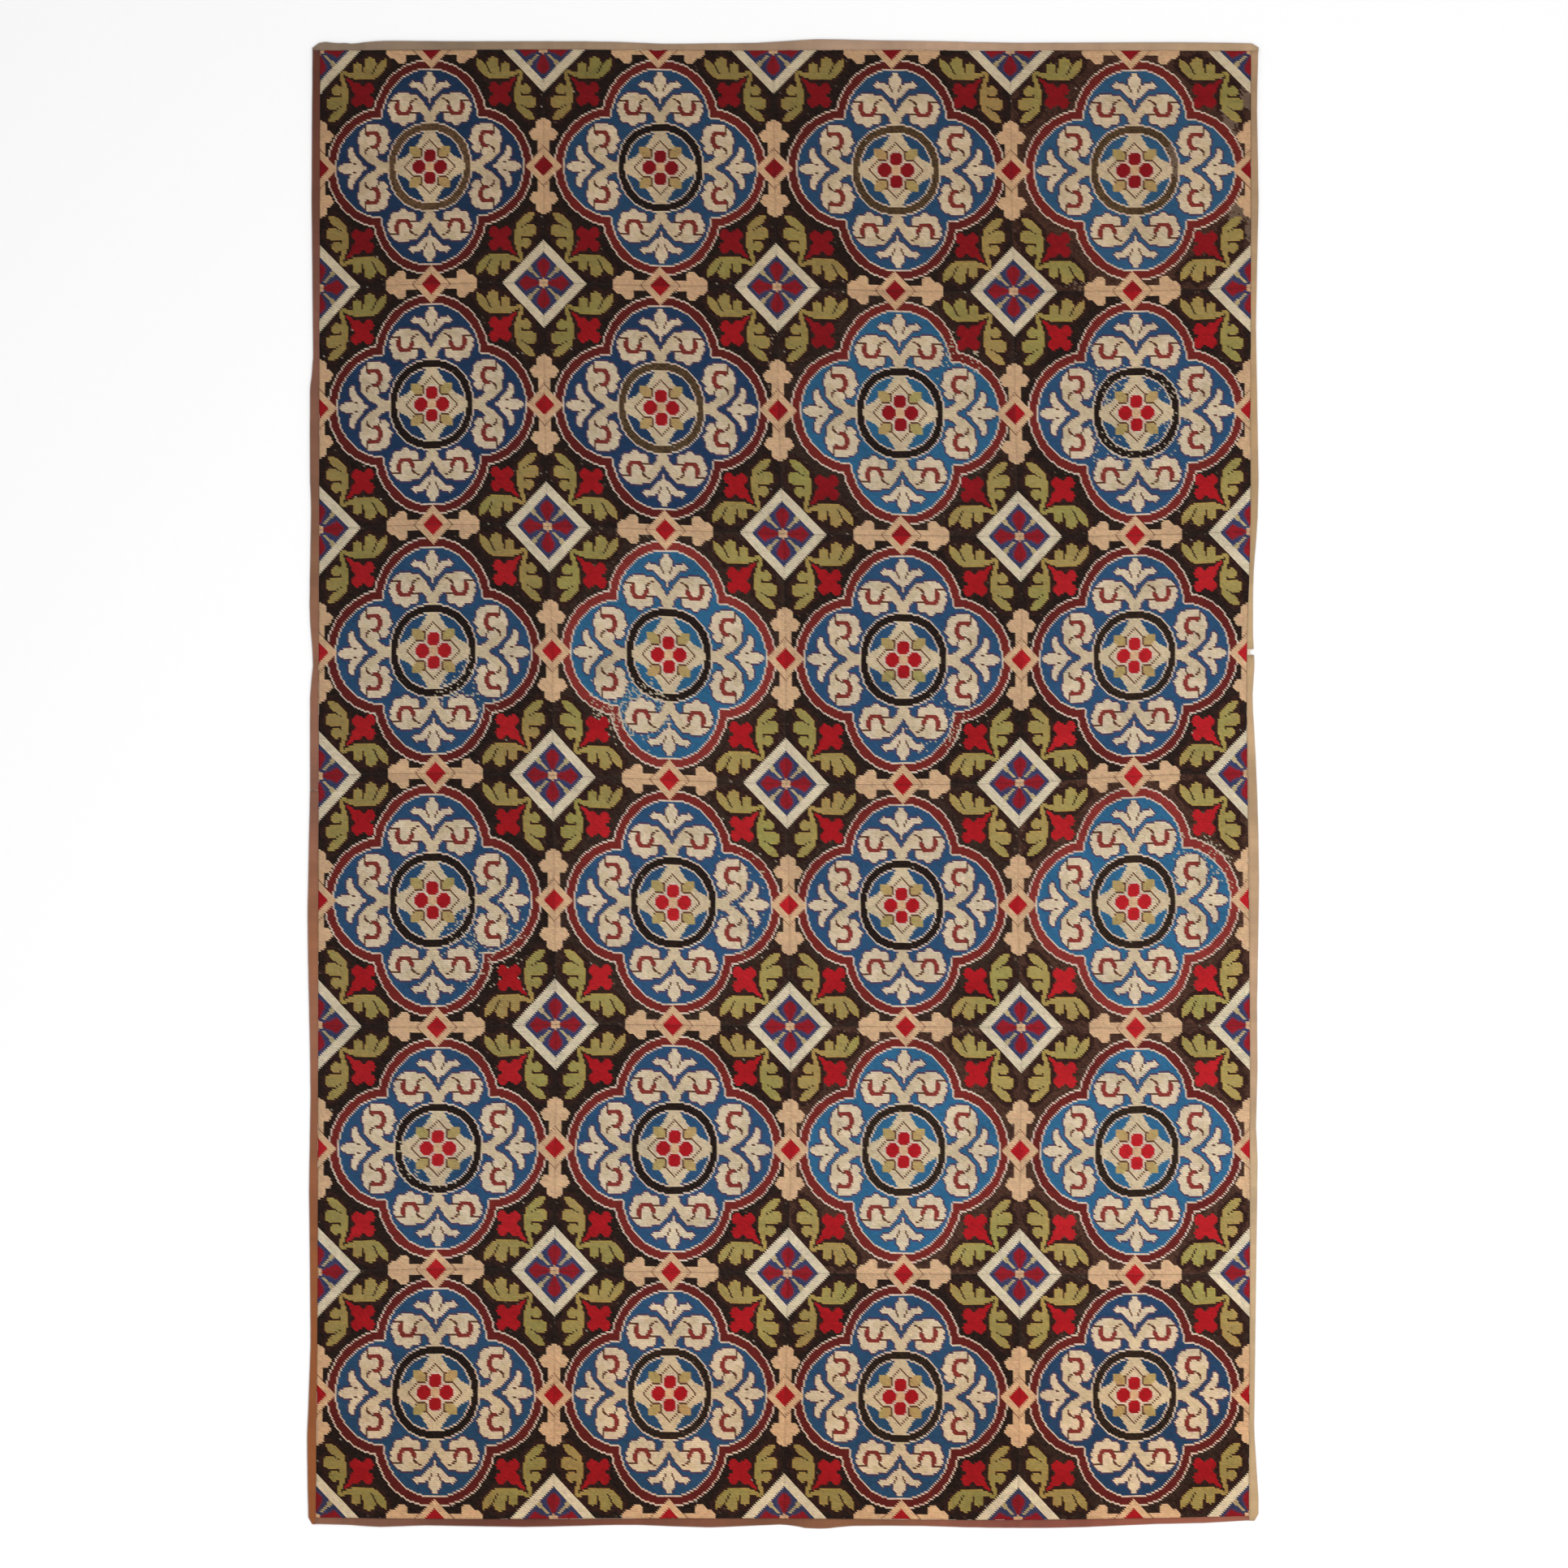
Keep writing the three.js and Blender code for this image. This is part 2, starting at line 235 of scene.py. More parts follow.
def woolMaterial(name, values):
    material, tree, shader = newMaterial(name)
    shade, mapX, mapY, place = clothInputs(tree)
    across, along = sums(tree, "FRACT", mapX), sums(tree, "FRACT", mapY)
    # a strand is round across and dips into the canvas at both ends
    roundness = arch(tree, across, values["roundAcross"])
    body = sums(tree, "MULTIPLY", roundness, arch(tree, along, values["roundAlong"]))
    # two plies twisted together
    twist = sums(tree, "ADD", sums(tree, "MULTIPLY", along, 2.0), across)
    ply = sums(tree, "SINE", sums(tree, "MULTIPLY", twist, 2 * math.pi))
    fibre = noise(tree, place, values["fibreScale"], 2.0)
    mottle = noise(tree, place, values["mottleScale"], 4.0)
    height = sums(tree, "MULTIPLY_ADD", ply, values["plyDepth"], body)
    height = sums(tree, "MULTIPLY_ADD", fibre, values["fibreDepth"], height)
    # painted shade in the dips between strands, then the wool's own unevenness from fibres and mottle
    dark = values["strandDipShade"]
    light = sums(tree, "MULTIPLY_ADD", body, dark, 1.0 - dark * values["strandMean"])
    light = speckle(tree, light, fibre, values["fuzz"] * 2)
    light = speckle(tree, light, mottle, values["fuzz"])
    finishCloth(tree, shader, scaled(tree, shade, light), height, fibre, values)
    return material


tapeValues = {
    "ribsPerMetre": 900.0,  # warp ribs of the woven tape
    "weftShare": 0.8,  # weft threads for each warp rib
    # the first paints shade into the weave's dips and highlight onto its ribs; the second is the bump's depth
    "ribPaintedShade": 0.17, "ribDepth": 0.9,
    "fibreScale": 1900.0, "soilScale": 21.0,
    "soil": 0.5, "fibre": 0.24,  # unevenness of the colour
    "bumpHeight": 0.00035,
    "bumpStrength": 0.6,
    "roughness": 0.86, "roughSpread": 0.16,
    "specular": 0.2,
    "sheen": 0.1,
}


def tapeMaterial(name, values):
    material, tree, shader = newMaterial(name)
    shade, along, around, place = clothInputs(tree)
    turns = values["ribsPerMetre"] * 2 * math.pi
    warp = sums(tree, "SINE", sums(tree, "MULTIPLY", along, turns))
    weft = sums(tree, "SINE", sums(tree, "MULTIPLY", around, turns * values["weftShare"]))
    weave = sums(tree, "MULTIPLY", warp, weft)
    fibre = noise(tree, place, values["fibreScale"], 2.0)
    soil = noise(tree, place, values["soilScale"], 5.0)
    height = sums(tree, "MULTIPLY_ADD", weave, values["ribDepth"], fibre)
    # painted shade in the weave's dips and painted highlight on its ribs, then soil and fibre unevenness
    light = sums(tree, "MULTIPLY_ADD", weave, values["ribPaintedShade"], 1.0)
    light = speckle(tree, light, soil, values["soil"])
    light = speckle(tree, light, fibre, values["fibre"])
    finishCloth(tree, shader, scaled(tree, shade, light), height, soil, values)
    return material


panelWool = woolMaterial("stitched_wool", woolValues)
seamWool = woolMaterial("seam_wool", woolValues)
tapeCloth = {
    "tan": tapeMaterial("tan_tape_weave", tapeValues),
    "rust": tapeMaterial("rust_tape_weave", tapeValues),
}
print("stage 2: materials made")


# the chart of one panel. u and v run from -1 to 1 between opposite seams

dyes = {
    "ground": (39, 27, 22), "maroonGround": (50, 29, 24), "band": (117, 38, 33),
    "cream": (208, 187, 154), "pale": (216, 196, 167), "line": (211, 191, 173),
    "blue": (44, 79, 114), "red": (168, 23, 30), "crimson": (144, 26, 36),
    "peach": (211, 173, 135), "olive": (167, 142, 77),
    "leaf": (178, 152, 98), "ring": (35, 24, 19), "spiral": (134, 52, 46),
    "vein": (96, 60, 46), "outline": (82, 60, 88), "lozenge": (56, 62, 98),
    "frame": (216, 201, 172), "ray": (182, 164, 124), "tan": (156, 118, 90),
    "sage": (159, 142, 83), "canvas": (196, 184, 164), "worn": (112, 92, 76),
}
wools = list(dyes)
number = {name: place for place, name in enumerate(wools)}

chartValues = {
    "lobeOffset": 0.41, "lobeInner": 0.42, "lobeOuter": 0.497,  # the four-lobed band
    "diskEdge": 0.298, "ringOuter": 0.371, "ringSquare": 0.01,  # the ring is a little square
    "stemHalf": 0.043, "stemFrom": 0.3, "stemTo": 0.43,  # from the ring to the scrolls
    "crossCentre": 0.5, "crossRadius": 0.493, "armHalf": 0.055,  # blue quarters inside the ring
    "starStitches": 15.5,  # line round the petals
    "sprigFar": 0.183, "sprigNear": 0.082, "sprigHalf": 0.062,
    "petalOut": 0.096, "petalRadius": 0.0575, "eyeRadius": 0.042,
    "diamond": 0.16, "diamondHeart": 0.082,  # over the middle of each seam
    "frameOuter": 0.366, "frameInner": 0.27, "lozengeEye": 0.039,  # where four panels meet
    "scrollAlong": 0.497, "scrollAside": 0.237,  # middle of a scroll in its lobe
    "flowerAcross": 0.386, "flowerUp": 0.382, "flowerPetal": 0.053,
    "vein": 0.006,  # half a dark line's width
}


def disc(x, y, cx, cy, r):
    return (x - cx) ** 2 + (y - cy) ** 2 <= r * r


def stroke(x, y, *stops):
    # a brush stroke through stops of (x, y, half width)
    inside = np.zeros(x.shape, bool)
    for (ax, ay, aw), (bx, by, bw) in zip(stops, stops[1:]):
        dx, dy = bx - ax, by - ay
        t = np.clip(((x - ax) * dx + (y - ay) * dy) / (dx * dx + dy * dy), 0, 1)
        inside |= np.hypot(x - ax - t * dx, y - ay - t * dy) <= aw + t * (bw - aw)
    return inside


def arcLine(x, y, cx, cy, r, half, start, end):
    turn = (np.degrees(np.arctan2(y - cy, x - cx)) - start) % 360
    return (np.abs(np.hypot(x - cx, y - cy) - r) <= half) & (turn <= (end - start) % 360)


def grow(mask, times=1):
    # one stitch wider on all four sides, as many times as asked
    for _ in range(times):
        wide = np.pad(mask, 1)
        mask = mask | wide[:-2, 1:-1] | wide[2:, 1:-1] | wide[1:-1, :-2] | wide[1:-1, 2:]
    return mask


def cornerLeaves(far, near, thin):
    # far runs along one seam and near away from it, both from the panel's corner
    spine = stroke(far, near, (0.205, 0.19, 0.014), (0.27, 0.212, 0.02), (0.34, 0.225, 0.028),
                   (0.42, 0.225, 0.032), (0.49, 0.205, 0.036), (0.535, 0.165, 0.04),
                   (0.566, 0.125, 0.034), (0.59, 0.09, 0.013))
    middle = stroke(far, near, (0.445, 0.2, 0.05), (0.45, 0.115, 0.052))
    first = stroke(far, near, (0.345, 0.2, 0.04), (0.34, 0.15, 0.04))
    veins = stroke(far, near, (0.392, 0.075, thin), (0.39, 0.145, thin), (0.376, 0.195, 0.005))
    veins |= stroke(far, near, (0.522, 0.085, thin), (0.506, 0.14, thin), (0.474, 0.195, 0.005))
    return spine | middle | first, veins


def cornerFlower(a, b, sizes):
    cx, cy, petal = sizes["flowerAcross"], sizes["flowerUp"], sizes["flowerPetal"]
    flower = disc(a, b, cx, cy, 0.07)
    for sideA in (-petal, petal):
        for sideB in (-petal, petal):
            flower |= disc(a, b, cx + sideA, cy + sideB, 0.047)
    return flower | stroke(a, b, (0.345, 0.34, 0.045), (0.3, 0.295, 0.024), (0.248, 0.243, 0.007))


# in a lobe of the medallion, p runs outwards from its middle and q to the side

def lobeNeck(p, q):
    return stroke(p, q, (0.4, 0.0, 0.043), (0.44, 0.022, 0.032), (0.49, 0.057, 0.033),
                  (0.545, 0.09, 0.036), (0.585, 0.14, 0.038), (0.59, 0.2, 0.036))


def lobeScroll(p, q, sizes):
    cp, cq = sizes["scrollAlong"], sizes["scrollAside"]
    scroll = disc(p, q, cp, cq, 0.115) | (disc(p, q, cp, cq, 0.138) & (p > cp + 0.02))
    # scallops round its edge: turn in degrees, distance from the middle, radius
    for turn, reach, r in ((-92, 0.1, 0.045), (-48, 0.1, 0.046), (-8, 0.09, 0.046),
                           (-135, 0.103, 0.044), (178, 0.105, 0.044), (30, 0.092, 0.046)):
        t = math.radians(turn)
        scroll |= disc(q, p, cq + reach * math.cos(t), cp + reach * math.sin(t), r)
    scroll |= lobeNeck(p, q)
    pocket = stroke(p, q, (0.466, 0.092, 0.006), (0.425, 0.093, 0.026), (0.378, 0.09, 0.038))
    return scroll & ~pocket


def lobePalmette(p, q):
    palmette = stroke(p, q, (0.55, 0.0, 0.004), (0.61, 0.0, 0.022), (0.66, 0.0, 0.036), (0.7, 0.0, 0.046),
                      (0.75, 0.0, 0.046), (0.785, 0.0, 0.026), (0.808, 0.0, 0.006))
    palmette |= stroke(p, q, (0.595, 0.01, 0.013), (0.638, 0.036, 0.027), (0.676, 0.07, 0.029),
                       (0.7, 0.11, 0.026), (0.704, 0.148, 0.025), (0.696, 0.168, 0.014))
    return palmette


def scrollLines(p, q, sizes):
    cp, cq, thin = sizes["scrollAlong"], sizes["scrollAside"], 0.0072
    curl = arcLine(q, p, cq - 0.002, cp + 0.018, 0.061, 0.0195, 172, 410)
    lines = stroke(q, p, (cq + 0.035, cp + 0.069, thin), (cq + 0.118, cp + 0.075, thin))
    lines |= stroke(q, p, (cq - 0.062, cp - 0.032, thin), (cq - 0.135, cp - 0.037, thin))
    lines |= stroke(q, p, (cq - 0.053, cp + 0.016, thin), (cq - 0.063, cp + 0.05, thin),
                    (cq - 0.087, cp + 0.073, thin), (cq - 0.122, cp + 0.083, thin))
    return curl, lines


def paint(chart, *layers):
    # each layer covers the ones before it
    for mask, wool in layers:
        chart[mask] = number[wool]


def chartCorners(chart, a, b, sizes):
    # leaves and a red flower; a and b run inwards from the panel's sides
    far, near, reach = np.maximum(a, b), np.minimum(a, b), a + b
    leaves, veins = cornerLeaves(far, near, sizes["vein"])
    behind = grow(leaves, 3) | ((reach < 0.62) & (reach > 0.3) & (near > 0.06))
    paint(chart, (behind, "maroonGround"), (leaves, "olive"), (~grow(~leaves), "sage"),
          (veins & leaves, "maroonGround"), (cornerFlower(a, b, sizes), "red"))

    # lozenge with its four petals, a quarter in each corner
    inner = sizes["frameInner"]
    core = reach < inner
    ray = stroke(far, near, (0.04, 0.04, 0.005), (0.09, 0.09, 0.012), (0.125, 0.125, 0.022))
    paint(chart, (reach < sizes["frameOuter"], "frame"), (core, "lozenge"),
          (ray & (reach < inner - 0.012), "ray"))
    petals = stroke(far, near, (0.05, 0, 0.014), (0.1, 0, 0.032), (0.15, 0, 0.054), (0.19, 0, 0.018))
    paint(chart, (grow(petals) & core & (chart == number["lozenge"]), "outline"),
          (petals & core, "crimson"), (disc(far, near, 0, 0, sizes["lozengeEye"]), "peach"))


def chartLobes(chart, au, av, sizes):
    # four-lobed band, and in each lobe two scrolls and a palmette
    p, q = np.maximum(au, av), np.minimum(au, av)
    offset, edge = sizes["lobeOffset"], sizes["lobeInner"]
    lobe = np.minimum(np.hypot(p - offset, q), np.hypot(q - offset, p))
    band = lobe < sizes["lobeOuter"]
    inner = (lobe < edge) | ((au < offset) & (av < offset))
    paint(chart, (grow(band), "line"), (band, "band"), (grow(inner), "line"), (inner, "blue"))
    pale = (lobeScroll(p, q, sizes) | lobePalmette(p, q)) & (lobe < edge - 0.004)
    stem = (p < sizes["stemTo"]) & (p > sizes["stemFrom"]) & (q < sizes["stemHalf"])
    rim = grow(pale | stem) & ~pale & inner & (lobe < edge - 0.02)
    curl, lines = scrollLines(p, q, sizes)
    tips = stroke(p, q, (0.655, 0.029, sizes["vein"]), (0.708, 0.05, sizes["vein"]))
    paint(chart, (rim, "outline"), (pale, "pale"), ((lobeNeck(p, q) & pale) | stem, "cream"),
          (curl, "spiral"), (lines & pale, "vein"), (tips, "vein"))


def chartRing(chart, u, v, stitch, sizes):
    # ring, and inside it a cross with a star line, four leaves and four petals
    au, av = np.abs(u), np.abs(v)
    p, q = np.maximum(au, av), np.minimum(au, av)
    r = np.hypot(u, v) * (1 + sizes["ringSquare"] * np.cos(4 * np.arctan2(v, u)))
    ring, disk = r < sizes["ringOuter"], r < sizes["diskEdge"]
    stem = (q < sizes["stemHalf"]) & (p > 0.36)
    centre = sizes["crossCentre"]
    quarter = (np.hypot(au - centre, av - centre) < sizes["crossRadius"]) & disk
    paint(chart, (grow(ring) & ~stem, "line"), (ring, "ring"), (grow(disk), "line"),
          (disk | (grow(disk) & (q < sizes["armHalf"])), "cream"), (quarter, "blue"))
    star = sizes["starStitches"] * stitch
    starLine = (np.abs(p + q - star) < stitch * 0.5) & disk
    sprig = (p < sizes["sprigFar"]) & (q > sizes["sprigNear"]) & (p - q < sizes["sprigHalf"])
    petal = disc(p, q, sizes["petalOut"], 0, sizes["petalRadius"])
    paint(chart, (starLine, "vein"), (grow(sprig) & (p + q < star + 2 * stitch), "vein"),
          (sprig, "leaf"), (grow(petal), "line"), (petal, "red"),
          (disc(p, q, 0, 0, sizes["eyeRadius"]), "peach"))


def panelChart(u, v, du, dv, stitch, sizes):
    # one wool number for each stitch; du and dv shift the middle medallion
    chart = np.full(u.shape, number["ground"])
    chartCorners(chart, 1 - np.abs(u), 1 - np.abs(v), sizes)
    # trefoils beside the diamonds: d runs in from the seam, q along it
    d = 1 - np.maximum(np.abs(u), np.abs(v))
    q = np.minimum(np.abs(u), np.abs(v))
    trefoil = stroke(q, d, (0.13, 0, 0.046), (0.3, 0, 0.043))
    trefoil |= disc(q, d, 0.275, 0.067, 0.052) | disc(q, d, 0.337, 0, 0.073)
    paint(chart, (trefoil, "peach"))
    chartLobes(chart, np.abs(u - du), np.abs(v - dv), sizes)
    chartRing(chart, u - du, v - dv, stitch, sizes)
    # diamond over the middle of each seam
    reach, diamond = d + q, sizes["diamond"]
    paint(chart, ((reach < diamond + stitch) & (d < 0.05), "tan"), (reach < diamond, "peach"),
          (reach < sizes["diamondHeart"], "red"))
    return chart


# panels

panelValues = {
    "rows": 6, "columns": 4,
    "stitches": 136,  # along each side
    "backCells": 17,  # patches along each side of the back
    "backCanvas": 0.3,  # share of canvas that shows between the wool there
    "backStitch": 0.0035,  # metres
    "wallPaintedShade": 0.7,  # painted shade: lightness of the panel's sides, deep in the seams
    "seamDrop": 0.0004,  # metres that the edge rolls down into the seam
    "seamReach": 2.0,  # stitches that it rolls over
    "wave": 0.0006, "waveLength": 0.35,  # slow rise and fall of the laid cloth
    "pucker": 0.00035, "puckerLength": 0.045,  # small gathers along the seams
    "puckerFade": 14.0,  # how soon the gathers die out away from a seam
    "tension": 0.0001,  # unevenness from stitch to stitch
    "drift": 0.0007, "driftLength": 0.05,  # how far the stitch rows wander sideways
    "straightEdge": 12.0,  # they wander fully only from a twelfth of the side inwards
    "intoGap": 0.0001,  # the wool fills the seam's gap by this much on each side
    # corners of the bare canvas margin's section, outwards from the side and up
    "margin": [(-0.001, 0.0013), (0.006, 0.0013), (0.006, 0.0028), (-0.001, 0.0028)],
    "marginParts": 6,  # faces along it
    "stitchShade": 0.085,  # spread of lightness from stitch to stitch
    "darkSpread": 3.2,  # times as much in the dark wools
    "stitchTint": 0.025,  # spread of colour
    "abrash": 0.07,  # bands of lighter and darker yarn
    "bandWidth": 0.055, "patchWidth": 0.16,  # metres
    "pink": (204, 160, 146), "pinkFrom": 0.78, "pinkMix": 0.55,  # faded stitches of the pale lines
    "leafDrift": (-0.1, 0.02, -0.06),  # red, green, blue
    "wornShare": 0.004, "wornAtEdge": 0.02,  # of the dark stitches
    "wornReach": 1.6,  # stitches in from the seam
    "dirtColour": (0, 0.05, 0.1), "dirtBelow": 1.8,  # what dirt takes off, and more of it below
    "toneMiddle": 0.82, "toneRight": 0.16, "toneUp": 0.11, "toneLowest": 0.56,  # painted shade over the rug
    "paleMiddle": 0.828, "paleRight": 0.08, "paleUp": -0.07, "paleLowest": 0.6,  # painted shade on pale wool
}

# medallion shifts in whole stitches (right, up), one row of panels a line
medallionShift = [
    [(-1, 0), (1, 0), (2, 0), (2, 0)],
    [(0, 0), (0, 0), (2, 0), (2, 0)],
    [(-1, -1), (0, 0), (0, 0), (0, 0)],
    [(-2, 0), (1, 0), (-1, 0), (0, 0)],
    [(1, 0), (1, 0), (-1, 0), (1, 0)],
    [(0, 1), (0, 1), (-1, 0), (0, 1)],
]

# panels worked from a yarn lot of their own, as (row, column)
ownLots = {
    "blue": {
        (36, 62, 96): [(1, 1), (2, 1), (2, 2)],
        (46, 98, 134): [(2, 3), (3, 2), (4, 4), (5, 3), (5, 4)],
        (50, 92, 128): [(1, 4)],
        (38, 66, 100): [(6, 4)],
    },
    "ground": {
        (52, 37, 30): [(2, 3), (3, 2), (4, 2), (4, 3), (6, 4)],
        (70, 46, 36): [(1, 4), (4, 4), (5, 3), (5, 4)],
    },
    "ring": {
        (106, 80, 56): [(1, 1)],
        (86, 66, 44): [(1, 3), (1, 4), (2, 2)],
        (45, 33, 24): [(3, 4), (4, 4), (5, 3), (5, 4), (6, 2), (6, 3), (6, 4)],
    },
    "band": {
        (101, 33, 29): [(1, 1), (1, 3), (2, 1), (2, 2), (3, 1), (3, 4), (5, 4), (6, 1), (6, 2),
                        (6, 3), (6, 4)],
        (134, 48, 43): [(3, 2), (4, 4)],
    },
    "red": {
        (142, 20, 28): [(1, 1), (1, 2), (1, 3), (1, 4), (2, 3)],
        (180, 30, 36): [(3, 1), (4, 2), (4, 4), (5, 1), (3, 4), (5, 4)],
    },
}
# panels that are lighter or darker as a whole
panelGain = {(3, 2): 1.12, (4, 2): 1.1, (6, 1): 0.95, (6, 3): 0.9}

# worn places: middle x, middle y, half width, half height in metres, share of stitches worn
wornPlaces = [
    (0.923, 1.37, 0.012, 0.022, 0.97), (0.892, 1.322, 0.015, 0.028, 0.95),
    (0.905, 1.145, 0.016, 0.026, 0.95), (0.929, 1.105, 0.006, 0.026, 0.95),
    (0.778, 1.243, 0.012, 0.035, 0.8), (0.6, 0.99, 0.1, 0.012, 0.14),
    (-0.3, 0.5, 0.1, 0.01, 0.12), (0.3, -0.49, 0.16, 0.01, 0.12),
    (-0.02, 0.8, 0.01, 0.12, 0.12), (0.47, -0.2, 0.01, 0.16, 0.1),
]
# places speckled with single pale stitches, in the same way
speckledPlaces = [
    (-0.296, 0.148, 0.075, 0.055, 0.34), (0.7, 0.73, 0.1, 0.11, 0.13),
    (-0.61, -0.31, 0.09, 0.09, 0.15), (-0.64, 0.19, 0.06, 0.06, 0.14),
    (-0.086, -0.24, 0.045, 0.09, 0.16), (0.31, 0.12, 0.07, 0.05, 0.16),
    (-0.72, -0.76, 0.07, 0.05, 0.12), (0.84, -0.15, 0.06, 0.06, 0.15),
    (0.36, 0.86, 0.05, 0.05, 0.14),
]


def smoothStep(x):
    x = np.clip(x, 0, 1)
    return x * x * (3 - 2 * x)


def paintedShadeAt(x, y, values):
    # painted shade standing in for uneven light: darker towards the upper left, and a little along the lower
    # end
    tone = values["toneMiddle"] + values["toneRight"] * x - values["toneUp"] * y
    tone = tone - 0.05 * smoothStep((y - 0.9) / 0.5)
    return np.clip(tone, values["toneLowest"], 1.0) * (1 - 0.15 * smoothStep((-y - 0.95) / 0.5))


def panelOutline(row, column):
    # low, right, high and left side of the stitched face, each as points, and its height
    points = vertexPoints(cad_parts[f"panel_r{row}_c{column}"])
    top = points[:, 2].max()
    face = np.unique(np.round(points[points[:, 2] > top - 1e-5][:, :2], 6), axis=0)
    middle = (face.min(axis=0) + face.max(axis=0)) / 2
    loop = face[np.argsort(np.arctan2(face[:, 1] - middle[1], face[:, 0] - middle[0]))]
    x, y = loop[:, 0] - middle[0], loop[:, 1] - middle[1]
    corners = [np.argmin(x + y), np.argmax(x - y), np.argmax(x + y), np.argmax(y - x)]
    sides = []
    for first, last in zip(corners, corners[1:] + corners[:1]):
        count = (last - first) % len(loop)
        sides.append(loop[(first + np.arange(count + 1)) % len(loop)])
    return sides[0], sides[1], sides[2][::-1], sides[3][::-1], top


def resample(line, count):
    steps = np.hypot(*np.diff(line, axis=0).T)
    along = np.concatenate([[0], np.cumsum(steps)])
    wanted = np.linspace(0, along[-1], count + 1)
    return np.stack([np.interp(wanted, along, line[:, k]) for k in (0, 1)], axis=1)


def spread(n, low, right, high, left):
    # points between the four sides, first row at the top
    s = np.linspace(0, 1, n + 1)[None, :, None]
    t = np.linspace(1, 0, n + 1)[:, None, None]
    lowSide, highSide = resample(low, n)[None], resample(high, n)[None]
    leftSide, rightSide = resample(left, n)[::-1, None], resample(right, n)[::-1, None]
    flat = ((1 - s) * (1 - t) * low[0] + s * (1 - t) * low[-1] + (1 - s) * t * high[0] + s * t * high[-1])
    return (1 - t) * lowSide + t * highSide + (1 - s) * leftSide + s * rightSide - flat, s[..., 0], t[..., 0]


def ofWool(chart, *names):
    return np.isin(chart, [number[name] for name in names])


def inPlaces(places, chance, x, y, power):
    # stitches that lie in one of the places and that its share takes in
    taken = np.zeros(chance.shape, bool)
    for px, py, halfX, halfY, share in places:
        taken |= chance < share * np.exp(-((x - px) / halfX) ** power - ((y - py) / halfY) ** power)
    return taken


def blend(one, two, share):
    return (1 - share) * one + share * two


def panelDyes(row, column):
    dye = np.array([linear(dyes[name]) for name in wools])
    for wool, lots in ownLots.items():
        for colour, itsPanels in lots.items():
            if (row, column) in itsPanels:
                dye[number[wool]] = linear(colour)
    return dye


def panelColours(row, column, where, values):
    # linear colour of each stitch, from the chart, the yarn lots, the soil and the wear
    n = values["stitches"]
    stitch = 2 / n
    u, v = np.meshgrid(np.arange(n + 1) * stitch - 1, 1 - (np.arange(n) + 0.5) * stitch)
    right, up = medallionShift[row - 1][column - 1]
    chart = panelChart(u, v, right * stitch, up * stitch, stitch, chartValues)
    draw = np.random.default_rng(100 * row + column)
    dye = panelDyes(row, column)
    x, y = where[..., 0], where[..., 1]
    # worn stitches show the canvas through
    dark = ofWool(chart, "ground", "maroonGround", "ring")
    chance = draw.random(chart.shape)
    edge = np.minimum(1 - np.abs(u), 1 - np.abs(v)) < values["wornReach"] * stitch
    worn = ((chance < values["wornShare"]) | ((chance < values["wornAtEdge"]) & edge)) & dark
    patch = inPlaces(wornPlaces, chance, x, y, 6) & dark
    speckled = inPlaces(speckledPlaces, chance, x, y, 4)
    speckled &= ofWool(chart, "blue", "band", "ring", "ground", "line", "outline")
    colour = dye[chart]
    # lines of single stitches vary between white and faded pink
    faded = (draw.random(chart.shape) > values["pinkFrom"]) & ofWool(chart, "line")
    pink = linear(values["pink"])
    colour = np.where(faded[..., None], blend(colour, pink, values["pinkMix"]), colour)
    # bands of yarn, and each stitch a little different
    bands = ripple(x * 0.25, y, values["bandWidth"], 7 * row + column) * values["abrash"]
    patches = ripple(x, y, values["patchWidth"], 900 + 7 * row + column) * values["abrash"] * 0.8
    each = draw.normal(0, values["stitchShade"], chart.shape) * np.where(dark, values["darkSpread"], 1)
    tint = draw.normal(0, values["stitchTint"], chart.shape + (3,))
    colour = colour * np.clip(1 + bands + patches + each, 0.5, 1.6)[..., None] * (1 + tint)
    # the leaves drift between yellow and green
    green = ripple(x, y, 0.22, 51)[..., None] * np.array(values["leafDrift"])
    isLeaf = ofWool(chart, "olive", "sage", "leaf")[..., None]
    colour = np.where(isLeaf, colour * (1 + green), colour)
    # painted shade across the rug, gentler on pale wool than on the dark
    pale = ofWool(chart, "cream", "pale", "peach", "line", "frame", "leaf")
    paleShade = values["paleMiddle"] + values["paleRight"] * x + values["paleUp"] * y
    paleShade = np.clip(paleShade, values["paleLowest"], 1)
    colour = colour * np.where(pale, paleShade, paintedShadeAt(x, y, values))[..., None]
    # both ends of the rug are dirtier
    dirt = smoothStep((y - 0.6) / 0.6) + values["dirtBelow"] * smoothStep((-y - 0.9) / 0.4)
    colour = colour * (1 - dirt[..., None] * np.array(values["dirtColour"]))
    gain = panelGain.get((row, column), 1.0)
    colour = colour * np.where(pale, 0.5 + 0.5 * gain, gain)[..., None]
    rubbed = dye[number["worn"]] * draw.uniform(0.8, 1.15, chart.shape)[..., None]
    colour = np.where(patch[..., None], blend(colour, rubbed, 0.8), colour)
    bare = np.where(draw.random(chart.shape) < 0.25, number["canvas"], number["worn"])
    showing = dye[bare] * draw.uniform(0.5, 0.9, chart.shape)[..., None]
    colour = np.where(worn[..., None], blend(colour, showing, 0.6), colour)
    colour = np.where(speckled[..., None], blend(colour, dye[number["frame"]] * 0.75, 0.65), colour)
    return np.clip(colour, 0.002, 0.95)


def slowWave(x, y, values):
    return values["wave"] * ripple(x, y, values["waveLength"], 21)


edgeColours = {}  # along each panel's low, right, high and left side, for the seam stitches


